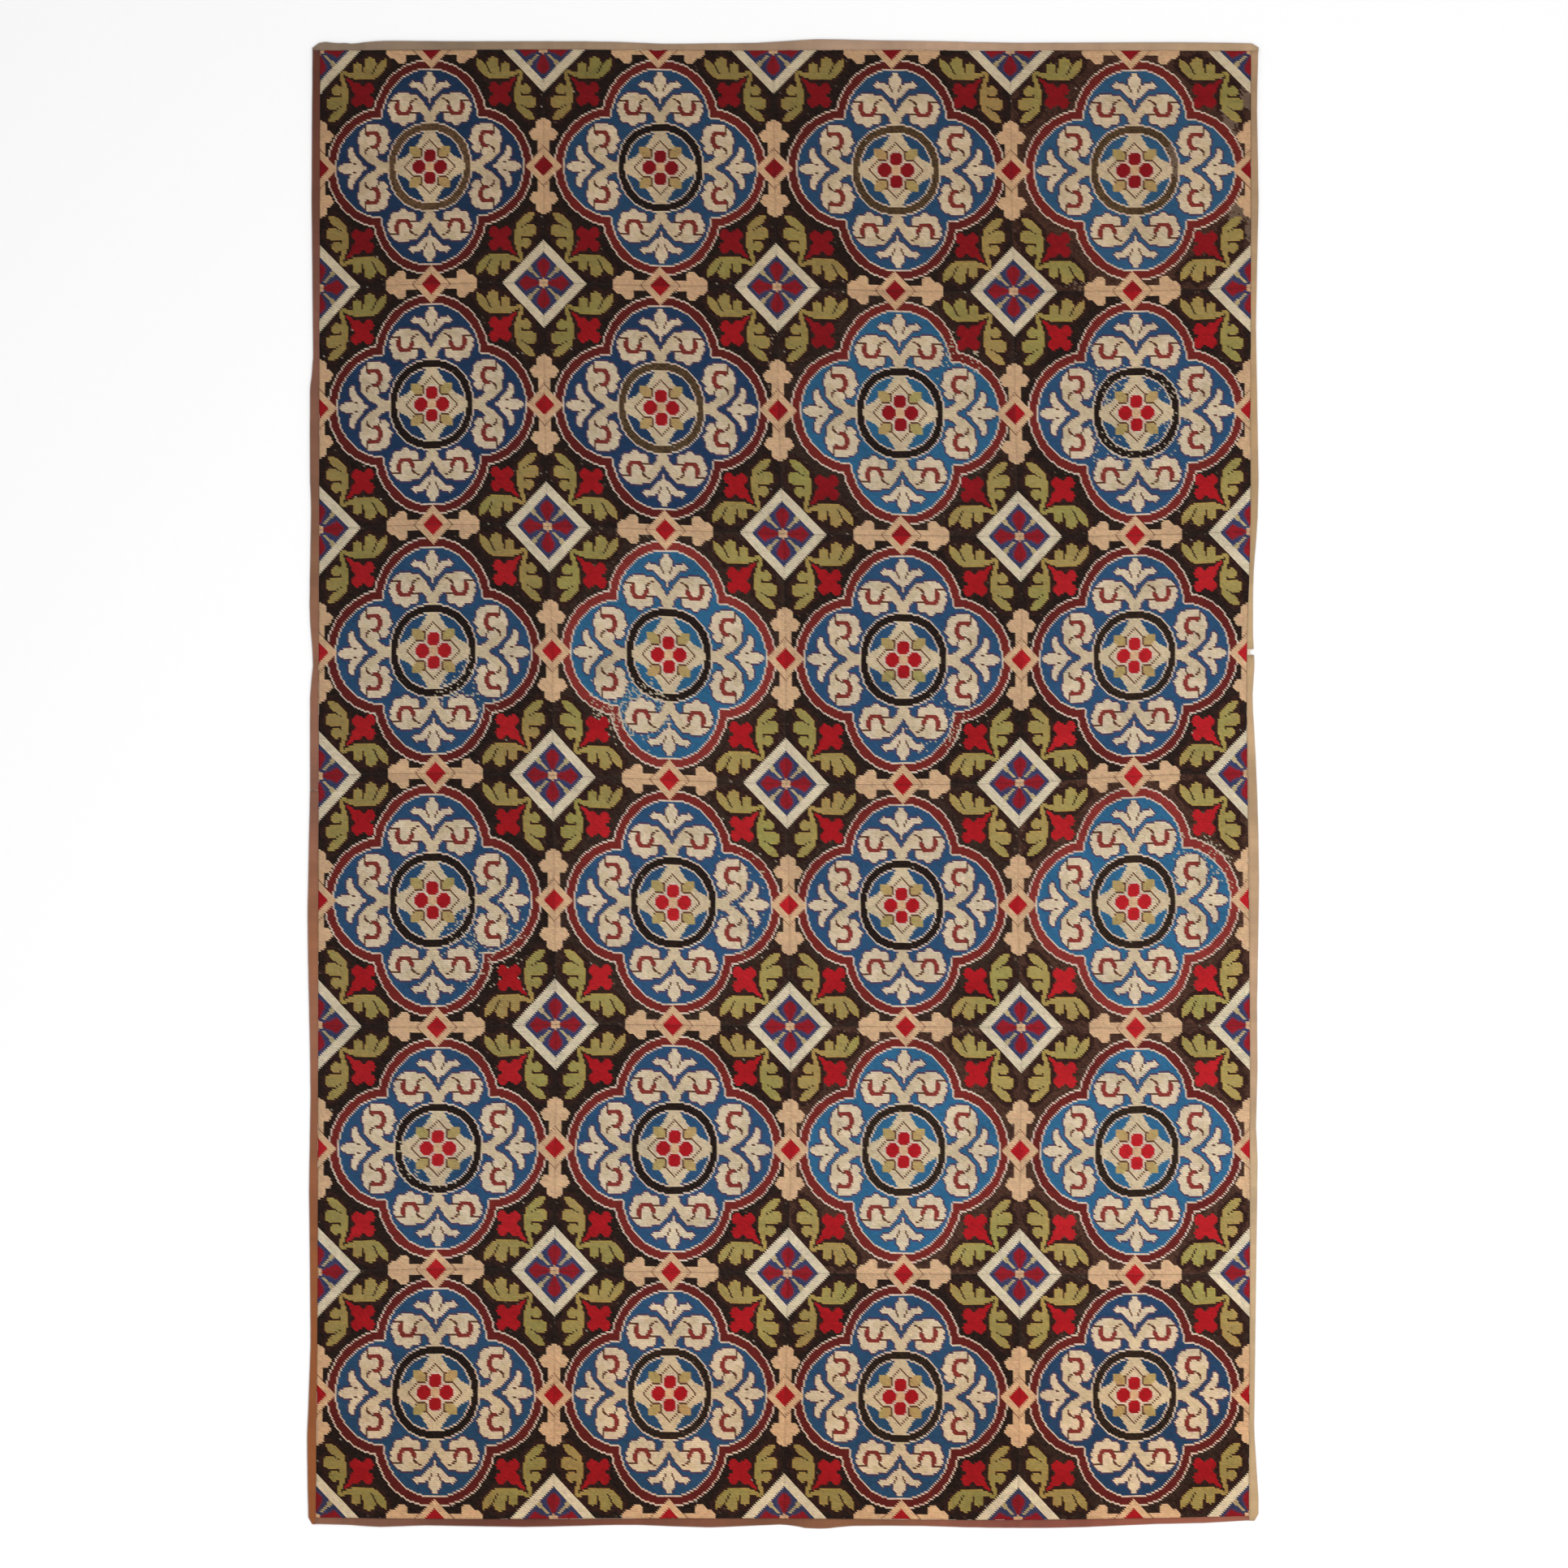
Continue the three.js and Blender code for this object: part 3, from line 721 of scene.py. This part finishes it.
def makePanel(row, column, values):
    name = f"panel_r{row}_c{column}"
    n = values["stitches"]
    low, right, high, left, top = panelOutline(row, column)
    flat, s, t = spread(n, low, right, high, left)
    s, t = np.broadcast_to(s, (n + 1, n + 1)), np.broadcast_to(t, (n + 1, n + 1))
    x = flat[..., 0] + (2 * s - 1) * values["intoGap"]
    y = flat[..., 1] + (2 * t - 1) * values["intoGap"]
    toEdge = np.minimum(np.minimum(s, 1 - s), np.minimum(t, 1 - t))
    inner = np.clip(toEdge * values["straightEdge"], 0, 1)
    x = x + inner * values["drift"] * ripple(x * 0.4, y, values["driftLength"], 11)
    y = y + inner * values["drift"] * ripple(x, y * 0.4, values["driftLength"], 12)
    draw = np.random.default_rng(5000 + 100 * row + column)
    z = top + slowWave(x, y, values)
    gather = ripple(x, y, values["puckerLength"], 22) * np.exp(-toEdge * values["puckerFade"])
    z = z + values["pucker"] * gather
    z = z + draw.normal(0, values["tension"], z.shape) * inner
    z = z - values["seamDrop"] * np.exp(-(toEdge * n / values["seamReach"]) ** 2)
    points = np.stack([x, y, z], -1)

    ids = np.arange((n + 1) ** 2).reshape(n + 1, n + 1)
    stitches = np.stack([ids[:-1, 0:n - 1], ids[1:, 1:n], ids[1:, 2:], ids[:-1, 1:n]], -1)
    startTri = np.stack([ids[:-1, 0], ids[1:, 0], ids[1:, 1]], -1)
    endTri = np.stack([ids[:-1, n - 1], ids[1:, n], ids[:-1, n]], -1)
    loop = np.concatenate([ids[n, :-1], ids[n:0:-1, n], ids[0, n:0:-1], ids[:-1, 0]])
    # the back is a coarse grid, so each wall face takes a run of stitches
    cells, topCount = values["backCells"], (n + 1) ** 2
    run = n // cells
    under = points[::run, ::run].reshape(-1, 3).copy()
    under[:, 2] = 0
    back = np.arange((cells + 1) ** 2).reshape(cells + 1, cells + 1)
    backLoop = np.concatenate([back[cells, :-1], back[cells:0:-1, cells], back[0, cells:0:-1],
                               back[:-1, 0]])
    stops = np.arange(4 * cells)[:, None] * run + np.arange(run, -1, -1)
    walls = np.column_stack([topCount + backLoop, topCount + np.roll(backLoop, -1),
                             loop[stops % (4 * n)]])
    backFaces = gridFaces(back).reshape(-1, 4)
    groups = [stitches.reshape(-1, 4), startTri, endTri, walls, topCount + backFaces]
    allPoints = [points.reshape(-1, 3), under]

    # bare canvas margin under the tape, on the outer sides only
    stations = values["marginParts"]
    sides = [(low, row == values["rows"], (0, -1)), (right, column == values["columns"], (1, 0)),
             (high, row == 1, (0, 1)), (left, column == 1, (-1, 0))]
    outer = [(line, np.array(way)) for line, isOuter, way in sides if isOuter]
    marginStart = len(allPoints[0]) + len(under)
    for line, way in outer:
        along = resample(line, stations)
        strip = np.stack([np.column_stack([along + way * reach, np.full(stations + 1, height)])
                          for reach, height in values["margin"]], axis=1)
        allPoints.append(strip.reshape(-1, 3))
        groups += tubeFaces(marginStart, stations + 1, 4, way[0] - way[1] > 0)
        marginStart += 4 * (stations + 1)

    piece = makeMesh("wool_" + name, np.concatenate(allPoints), groups)
    where = np.empty((n, n + 1, 2))
    where[:, 1:-1] = (points[:-1, :n - 1, :2] + points[1:, 2:, :2]) / 2
    where[:, 0], where[:, -1] = points[1:, 0, :2], points[:-1, n, :2]
    colour = panelColours(row, column, where, values)
    edgeColours[row, column] = [colour[-1], colour[::-1, -1], colour[0], colour[::-1, 0]]
    canvas = linear(dyes["canvas"])
    # painted shade on the panel's sides, deep in the seams
    shadedWallColour = colour.mean(axis=(0, 1)) * values["wallPaintedShade"]
    backShade = backColours(colour, canvas, values)[backFaces]
    extra = sum(g.size for g in groups[5:])
    setShade(piece, np.repeat(colour[:, 1:-1], 4, axis=1), np.repeat(colour[:, 0], 3, axis=0),
             np.repeat(colour[:, -1], 3, axis=0), np.tile(shadedWallColour, walls.size),
             backShade, np.tile(canvas, extra))

    # stitch map: one unit square a stitch
    k, r = np.meshgrid(np.arange(1, n), np.arange(n - 1, -1, -1))
    corner = np.array([(0, 1), (0, 0), (1, 0), (1, 1)])
    quadMap = np.stack([k, r], -1)[:, :, None, :] + corner
    rows = np.stack([np.zeros(n), np.arange(n - 1, -1, -1)], -1)[:, None, :]
    startMap = rows + np.array([(1, 1), (0, 0), (1, 0)])
    endMap = rows + np.array([n, 0]) + np.array([(0, 1), (0, 0), (1, 1)])
    step = np.arange(4 * cells)[:, None, None] * run
    wallCorners = np.array([(0, 0), (run, 0)] + [(k, 1) for k in range(run, -1, -1)])
    wallMap = step * np.array([1, 0]) + wallCorners
    backMap = (under[:, :2] - under[:, :2].min(axis=0)) / values["backStitch"]
    setMap(piece, "stitch", quadMap, startMap, endMap, wallMap, backMap[backFaces],
           np.full(2 * extra, 0.5))
    setMap(piece, "OFBake", *panelLayout(n, s, t, groups, stations, len(outer), cells))
    setSmooth(piece, np.arange(len(piece.data.polygons)) < n * (n + 1))
    piece.data.materials.append(panelWool)
    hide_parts(name)
    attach(piece, "root")
    return piece


def backColours(colour, canvas, values):
    # the back shows the same wools, blurred, with canvas between them
    cells = values["backCells"]
    run = colour.shape[0] // cells
    near = run // 2
    blurred = np.zeros((cells + 1, cells + 1, 3))
    for i in range(cells + 1):
        for j in range(cells + 1):
            rows = slice(max(i * run - near, 0), i * run + near)
            blurred[i, j] = colour[rows, max(j * run - near, 0):j * run + near].mean(axis=(0, 1))
    share = values["backCanvas"]
    return ((1 - share) * blurred + share * canvas * 0.5).reshape(-1, 3)


def panelLayout(n, s, t, groups, stations, outerCount, cells):
    # the face fills most of the square; the walls, the underside and the margin lie beside it
    start, size = 0.06, 0.925
    wallLow, wallPitch, wallHigh = 0.004, 0.01, 0.008
    backLow, backSize = 0.008, 0.044
    marginLow, marginPitch, marginHigh = 0.024, 0.007, 0.005
    capLow, capPitch, capWide, capHigh = 0.052, 0.1, 0.01, 0.004
    face = np.stack([start + size * s, start + size * t], -1).reshape(-1, 2)
    parts = [face[g] for g in groups[:3]]
    run = n // cells
    steps = np.arange(cells)[:, None] * run + np.array([0, run, *range(run, -1, -1)])
    lift = np.array([0, 0] + [wallHigh] * (run + 1))
    for side in range(4):
        low = wallLow + wallPitch * (side // 2)
        strip = np.stack(np.broadcast_arrays(start + size * steps / n, low + lift), -1)
        parts.append(strip if side % 2 == 0 else strip[..., ::-1])
    grid = np.stack([s, t], -1)[::run, ::run].reshape(-1, 2)
    parts.append(backLow + backSize * grid[groups[4] - (n + 1) ** 2])
    strips = np.zeros((stations, 4, 4, 2))
    for step in range(stations):
        one, two = start + size * step / stations, start + size * (step + 1) / stations
        for k in range(4):
            low = marginLow + marginPitch * k
            high = low + marginHigh
            strips[step, k] = [(one, low), (one, high), (two, high), (two, low)]
    low, high = capLow, capLow + capHigh
    caps = np.array([[(one, low), (one + capWide, low), (one + capWide, high), (one, high)]
                     for one in (start, start + capPitch)])
    margin = np.concatenate([strips.reshape(-1, 2), caps.reshape(-1, 2)])
    for outer in range(outerCount):
        parts.append(margin if outer == 0 else margin[:, ::-1])
    return parts


panels = {}
for row in range(1, panelValues["rows"] + 1):
    for column in range(1, panelValues["columns"] + 1):
        panels[row, column] = makePanel(row, column, panelValues)
print("stage 3: panels made,", sum(triangles(p) for p in panels.values()), "triangles")


# sewing thread, as short bars that arch over a seam or a hem

def threadBars(centres, ways, half, width, rise, dip):
    # one arched bar at each centre, along its way; returns points and faces
    ways = ways / np.linalg.norm(ways, axis=1, keepdims=True)
    side = np.stack([-ways[:, 1], ways[:, 0], np.zeros(len(ways))], axis=1)
    ways3 = np.column_stack([ways, np.zeros(len(ways))])
    sections = [(-1.0, -dip), (-0.45, rise), (0.45, rise), (1.0, -dip)]
    cross = [(-1.0, -0.55), (0.0, 0.0), (1.0, -0.55)]
    points = np.zeros((len(centres), 4, 3, 3))
    for i, (along, lift) in enumerate(sections):
        for j, (aside, drop) in enumerate(cross):
            points[:, i, j] = centres + ways3 * (along * half)[:, None] + side * aside * width
            points[:, i, j, 2] += lift + drop * width
    ids = np.arange(len(centres) * 12).reshape(-1, 4, 3)
    faces = np.stack([ids[:, :-1, 1:], ids[:, :-1, :-1], ids[:, 1:, :-1], ids[:, 1:, 1:]], -1)
    return points.reshape(-1, 3), faces.reshape(-1, 4)


barCorners = 24  # of the six faces of one thread bar

seamValues = {
    "spacing": 0.008,  # between two stitches along a seam
    "half": 0.0024,  # half a stitch's length
    "width": 0.00075,
    "sunk": 0.0006,  # below the highest point of the rug
    "rise": 0.0001, "arch": 0.00035, "dip": 0.0008,
    "slant": 0.55,
}


def seamPoints(one, two, colourOne, colourTwo, spacing, draw):
    # stitch places along the line halfway between two panels' sides
    samples, unevenness = 80, 0.0002
    line = (resample(one, samples) + resample(two, samples)) / 2
    stitches = max(int(lineLength(line) / spacing), 2)
    stops = resample(line, stitches)
    along = np.diff(stops, axis=0)
    run = stops[:-1] + along * 0.5
    share = (np.arange(stitches) + 0.5) / stitches
    pick = (share * (len(colourOne) - 1)).astype(int)
    other = (share * (len(colourTwo) - 1)).astype(int)
    colour = np.where(draw.random((stitches, 1)) < 0.5, colourOne[pick], colourTwo[other])
    return run + draw.normal(0, unevenness, run.shape), along, colour


def makeSeams(row, values):
    draw = np.random.default_rng(700 + row)
    centres, ways, colours = [], [], []
    height = cadBox[1].z - values["sunk"] - panelValues["seamDrop"] + values["rise"]
    for column in range(1, panelValues["columns"] + 1):
        # the seam on the right, then the one below
        for other, side, facing in (((row, column + 1), 1, 3), ((row + 1, column), 0, 2)):
            if other not in panels:
                continue
            one, two = panelOutline(row, column)[side], panelOutline(*other)[facing]
            run, along, colour = seamPoints(one, two, edgeColours[row, column][side],
                                            edgeColours[other][facing], values["spacing"], draw)
            centres.append(np.column_stack([run, np.full(len(run), height)]))
            ways.append(np.stack([-along[:, 1], along[:, 0]], axis=1) + along * values["slant"])
            colours.append(colour)
    centres, ways, colours = np.concatenate(centres), np.concatenate(ways), np.concatenate(colours)
    half = values["half"] * draw.uniform(0.85, 1.1, len(centres))
    centres[:, 2] += slowWave(centres[:, 0], centres[:, 1], panelValues)
    points, faces = threadBars(centres, ways, half, values["width"], values["arch"], values["dip"])
    piece = makeMesh(f"seam_stitches_r{row}", points, [faces])
    shades = colours * draw.uniform(0.85, 1.2, (len(colours), 1))
    setShade(piece, np.repeat(shades, barCorners, axis=0))
    square = np.array([(0.25, 1), (0, 1), (0, 0), (0.25, 0)])
    maps = np.array([[square / [1, 3] + (0.25 + 0.5 * j, i / 3) for j in (0, 1)] for i in range(3)])
    setMap(piece, "stitch", np.tile(maps.reshape(-1, 2), (len(centres), 1)) * [1, 0.98])
    setSmooth(piece, np.ones(len(piece.data.polygons)))
    piece.data.materials.append(seamWool)
    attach(piece, "root")
    return piece


seams = [makeSeams(row, seamValues) for row in range(1, panelValues["rows"] + 1)]
print("stage 4: seams sewn,", sum(triangles(p) for p in seams), "triangles")


# binding tape, folded over the canvas margin, with the hem stitches that hold it

tapePieces = {
    "tape_top": {"node": "binding_top", "cloth": "tan", "side": "high", "shades": [
        (-0.95, (132, 112, 94)), (-0.55, (140, 118, 95)), (-0.2, (156, 128, 101)),
        (0.1, (164, 135, 112)), (0.4, (180, 147, 121)), (0.95, (170, 142, 110))]},
    "tape_right_upper": {"node": "binding_right_upper", "cloth": "tan", "side": "right", "shades": [
        (0.26, (184, 156, 118)), (0.7, (180, 147, 108)), (1.1, (174, 143, 108)), (1.47, (160, 128, 98))]},
    "tape_right_lower": {"node": "binding_right_lower", "cloth": "tan", "side": "right", "shades": [
        (-1.47, (190, 158, 118)), (-0.8, (192, 164, 128)), (-0.5, (180, 146, 116)), (0.26, (184, 154, 116))]},
    "tape_left_upper": {"node": "binding_left", "cloth": "rust", "side": "left", "from": -0.012, "shades": [
        (0.0, (140, 94, 76)), (0.45, (132, 92, 68)), (0.95, (116, 74, 62)), (1.25, (102, 58, 42)),
        (1.46, (88, 46, 34))]},
    "tape_left_lower": {"node": "binding_left", "cloth": "rust", "side": "left", "to": -0.013, "shades": [
        (-1.47, (142, 80, 40)), (-0.95, (140, 82, 46)), (-0.5, (146, 96, 72)), (-0.3, (142, 92, 64)),
        (0.0, (140, 94, 76))]},
    "tape_bottom": {"node": "binding_bottom", "cloth": "rust", "side": "low", "shades": [
        (-0.95, (142, 96, 72)), (-0.82, (122, 82, 64)), (-0.55, (101, 54, 42)), (-0.2, (122, 74, 54)),
        (0.15, (130, 86, 58)), (0.45, (131, 72, 60)), (0.75, (146, 84, 64)), (0.95, (150, 92, 72))]},
}
tapeShape = {
    "step": 0.013,  # between two sections along the tape
    "thick": 0.001,
    "edgeWander": 0.0003,  # unevenness of the inner edge
    "foldWander": 0.4,  # of the fold, as a share of that
    "puff": 0.0003,  # how far the top leaf rises and falls
    "lap": 0.0008,  # how far the top leaf lies over the stitches
    "edgeDrop": 0.0002,  # of the top leaf's inner edge
    "girthStep": 0.004,  # tape from one corner of the section to the next, for its weave
    "foldHighlight": 0.3,  # how much paler the fold's painted highlight makes it
    # painted highlight colour mixed into the rounded fold
    "rubbed": (214, 204, 196),
    "hemSpacing": 0.0085, "hemHalf": 0.0015, "hemWidth": 0.00042, "hemInset": 0.0019,
    "hemRise": 0.0001, "hemArch": 0.0003, "hemDip": 0.0006, "hemWander": 0.0006,
    "hemShade": 0.86,  # its lightness beside the tape's
}


def tapeEdges(node, alongAxis, outward):
    # inner and outer edge of a tape along its length, from the CAD solid
    points = vertexPoints(node)
    top = points[:, 2].max()
    along = np.round(points[:, alongAxis], 4)
    across = points[:, 1 - alongAxis] * outward
    face = points[:, 2] > top - 1e-5
    stops, inner, outer = [], [], []
    for place in np.unique(along):
        here = along == place
        if (here & face).sum() >= 2:
            stops.append(place)
            inner.append(across[here & face].min())
            outer.append(across[here].max())
    return np.array(stops), np.array(inner), np.array(outer), top


def tapeSection(top, values):
    # underside out to the fold, round it, back over the top, then the inside of the fold,
    # each as the share of the way out to the fold, the height and the reach beyond it
    half, thick = top / 2, values["thick"]
    section = [(0, 0.0, 0), (0.5, 0.0, 0), (1, 0.0, 0)]
    for turn in (-55, -20, 20, 55):
        t = math.radians(turn)
        section.append((1, half * (1 + math.sin(t)), half * math.cos(t)))
    section += [(1, top, 0), (0.66, top, 0), (0.33, top, 0), (0, top - values["edgeDrop"], 0)]
    section += [(0, top - thick, 0), (1, top - thick, 0), (1, half, half - thick)]
    return section + [(1, thick, 0), (0, thick, 0)]


def tapeShade(position, shades):
    # linear colour at places along a tape, faded unevenly
    stops = np.array([place for place, colour in shades])
    colours = np.array([linear(colour) for place, colour in shades])
    base = np.stack([np.interp(position, stops, colours[:, c]) for c in range(3)], -1)
    fade = 1 + 0.12 * ripple(position, position * 0, 0.3, 41)
    fade = fade + 0.05 * ripple(position, position * 0, 0.02, 42)
    return base * fade[..., None]


def makeTape(name, spec, values):
    alongAxis = 1 if spec["side"] in ("left", "right") else 0
    outward = 1 if spec["side"] in ("right", "high") else -1
    stops, inner, outer, top = tapeEdges(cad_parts[spec["node"]], alongAxis, outward)
    first = max(stops[0], spec.get("from", stops[0]))
    last = min(stops[-1], spec.get("to", stops[-1]))
    count = int((last - first) / values["step"])
    along = np.linspace(first, last, count + 1)
    wander = values["edgeWander"]
    inside = np.interp(along, stops, inner) + wander * ripple(along, along * 0, 0.035, 31)
    outside = np.interp(along, stops, outer)
    outside = outside + values["foldWander"] * wander * ripple(along, along * 0, 0.05, 32)
    half = top / 2
    shoulder = outside - half
    topInside = inside - values["lap"]
    section = tapeSection(top, values)
    m = len(section)
    points = np.zeros((count + 1, m, 3))
    for k, (share, z, out) in enumerate(section):
        start = topInside if z > half else inside
        across = start + (shoulder - start) * share + out
        puff = values["puff"] * ripple(along, along * 0 + share * 0.01, 0.03, 33) * (z > half)
        points[:, k, alongAxis] = along
        points[:, k, 1 - alongAxis] = across * outward
        points[:, k, 2] = z + puff
    flip = (alongAxis == 1) == (outward > 0)
    faces, caps = tubeFaces(0, count + 1, m, flip)

    # hem stitches in the tape's own colour, near its inner edge
    draw = np.random.default_rng(len(name) * 13 + alongAxis)
    hems = int((last - first) / values["hemSpacing"])
    place = first + (np.arange(hems) + 0.5) / hems * (last - first)
    place = place + draw.normal(0, values["hemWander"], hems)
    centres, ways = np.zeros((hems, 3)), np.zeros((hems, 2))
    centres[:, alongAxis] = place
    centres[:, 1 - alongAxis] = (np.interp(place, along, topInside) + values["hemInset"]) * outward
    centres[:, 2] = top + values["hemRise"]
    ways[:, alongAxis], ways[:, 1 - alongAxis] = 0.5, outward
    barPoints, barFaces = threadBars(centres, ways, np.full(hems, values["hemHalf"]), values["hemWidth"],
                                     values["hemArch"], values["hemDip"])
    piece = makeMesh(name, points.reshape(-1, 3), [faces, caps])
    hem = makeMesh(name.replace("tape", "hem_stitches"), barPoints, [barFaces])

    # painted highlight: the rounded fold is painted paler, as its fuzzy edge looks against the white floor
    pale = np.zeros(m)
    pale[2:7] = np.array([0.4, 1, 1, 1, 0.5]) * values["foldHighlight"]
    middles = tapeShade(along[:-1] + values["step"] / 2, spec["shades"])[:, None]
    sideShade = middles * (1 - pale)[:, None] + linear(values["rubbed"]) * pale[:, None]
    capShade = tapeShade(along[[0, -1]], spec["shades"])
    setShade(piece, np.repeat(sideShade, 4, axis=1), np.repeat(capShade, m, axis=0))
    hemShade = tapeShade(place, spec["shades"]) * values["hemShade"]
    setShade(hem, np.repeat(hemShade, barCorners, axis=0))
    girth = np.arange(m + 1) * values["girthStep"]
    girthMap = np.stack(np.broadcast_arrays(along[:, None], girth[None, :]), -1)
    quadMap = gridFaces(girthMap)[:, :, ::-1 if flip else 1]
    setMap(piece, "stitch", quadMap, np.zeros(4 * m))
    setMap(hem, "stitch", np.tile(np.array([(0, 1), (0, 0), (1, 0), (1, 1)]) * 0.002, (6 * hems, 1)))
    setSmooth(piece, np.concatenate([np.ones(len(faces)), np.zeros(2)]))
    setSmooth(hem, np.ones(len(barFaces)))
    for part in (piece, hem):
        part.data.materials.append(tapeCloth[spec["cloth"]])
        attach(part, "root")
    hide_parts(spec["node"])
    # cut width before folding: both leaves and the fold between them
    cutWidth = float((2 * shoulder - inside - topInside).mean())
    cutWidth += math.pi * (half - values["thick"] / 2)
    return piece, hem


tapes = [part for name, spec in tapePieces.items() for part in makeTape(name, spec, tapeShape)]
print("stage 5: tape folded on,", sum(triangles(p) for p in tapes), "triangles")


# floor, light and camera

stageValues = {
    "frameWidth": 3.13,  # metres across the picture
    "middle": (0.0019, 0.0),
    "lens": 85.0, "sensor": 36.0,
    "floorShade": 0.93, "floorGrain": 60.0, "floorSpread": 0.012,
    "floorHalf": 8.0, "floorDrop": 0.0004,
    "worldLight": 0.8,
    "lampPower": 145.0, "lampPlace": (1.6, -1.8, 5.6), "lampSize": 2.6,
}


def makeFloor(values):
    half, z = values["floorHalf"], -values["floorDrop"]
    points = np.array([(-half, -half, z), (half, -half, z), (half, half, z), (-half, half, z)])
    floor = makeMesh("floor", points, [np.array([[0, 1, 2, 3]])])
    material, tree, shader = newMaterial("pale_floor")
    place = tree.nodes.new("ShaderNodeTexCoord").outputs["Object"]
    grain = noise(tree, place, values["floorGrain"], 3.0)
    swing = values["floorSpread"]
    tone = sums(tree, "MULTIPLY_ADD", grain, swing, values["floorShade"] - swing / 2)
    mix = tree.nodes.new("ShaderNodeCombineXYZ")
    for socket in mix.inputs:
        tree.links.new(tone, socket)
    tree.links.new(mix.outputs[0], shader.inputs["Base Color"])
    tree.links.new(sums(tree, "MULTIPLY_ADD", grain, 0.1, 0.75), shader.inputs["Roughness"])
    shader.inputs["Specular IOR Level"].default_value = 0.1
    floor.data.materials.append(material)


def makeLight(values):
    world = bpy.data.worlds.new("soft_white")
    world.use_nodes = True
    background = world.node_tree.nodes["Background"]
    background.inputs["Color"].default_value = (1, 1, 1, 1)
    background.inputs["Strength"].default_value = values["worldLight"]
    bpy.context.scene.world = world
    lampData = bpy.data.lights.new("window", "AREA")
    lampData.energy = values["lampPower"]
    lampData.size = values["lampSize"]
    lamp = bpy.data.objects.new("window", lampData)
    lamp.location = values["lampPlace"]
    away = -np.array(values["lampPlace"])
    lamp.rotation_euler = (math.atan2(math.hypot(away[0], away[1]), -away[2]), 0,
                           math.atan2(away[1], away[0]) - math.pi / 2)
    bpy.context.scene.collection.objects.link(lamp)


def makeCamera(values):
    cameraData = bpy.data.cameras.new("overhead")
    cameraData.lens = values["lens"]
    cameraData.sensor_width = values["sensor"]
    cameraData.clip_end = 60
    camera = bpy.data.objects.new("overhead", cameraData)
    height = values["frameWidth"] * values["lens"] / values["sensor"]
    camera.location = (*values["middle"], height)
    bpy.context.scene.collection.objects.link(camera)
    bpy.context.scene.camera = camera


makeFloor(stageValues)
makeLight(stageValues)
makeCamera(stageValues)
bpy.context.scene.view_settings.view_transform = "Standard"
total = sum(triangles(p) for p in [*panels.values(), *seams, *tapes])
print("stage 6: floor, light and camera set;", total, "triangles in all")
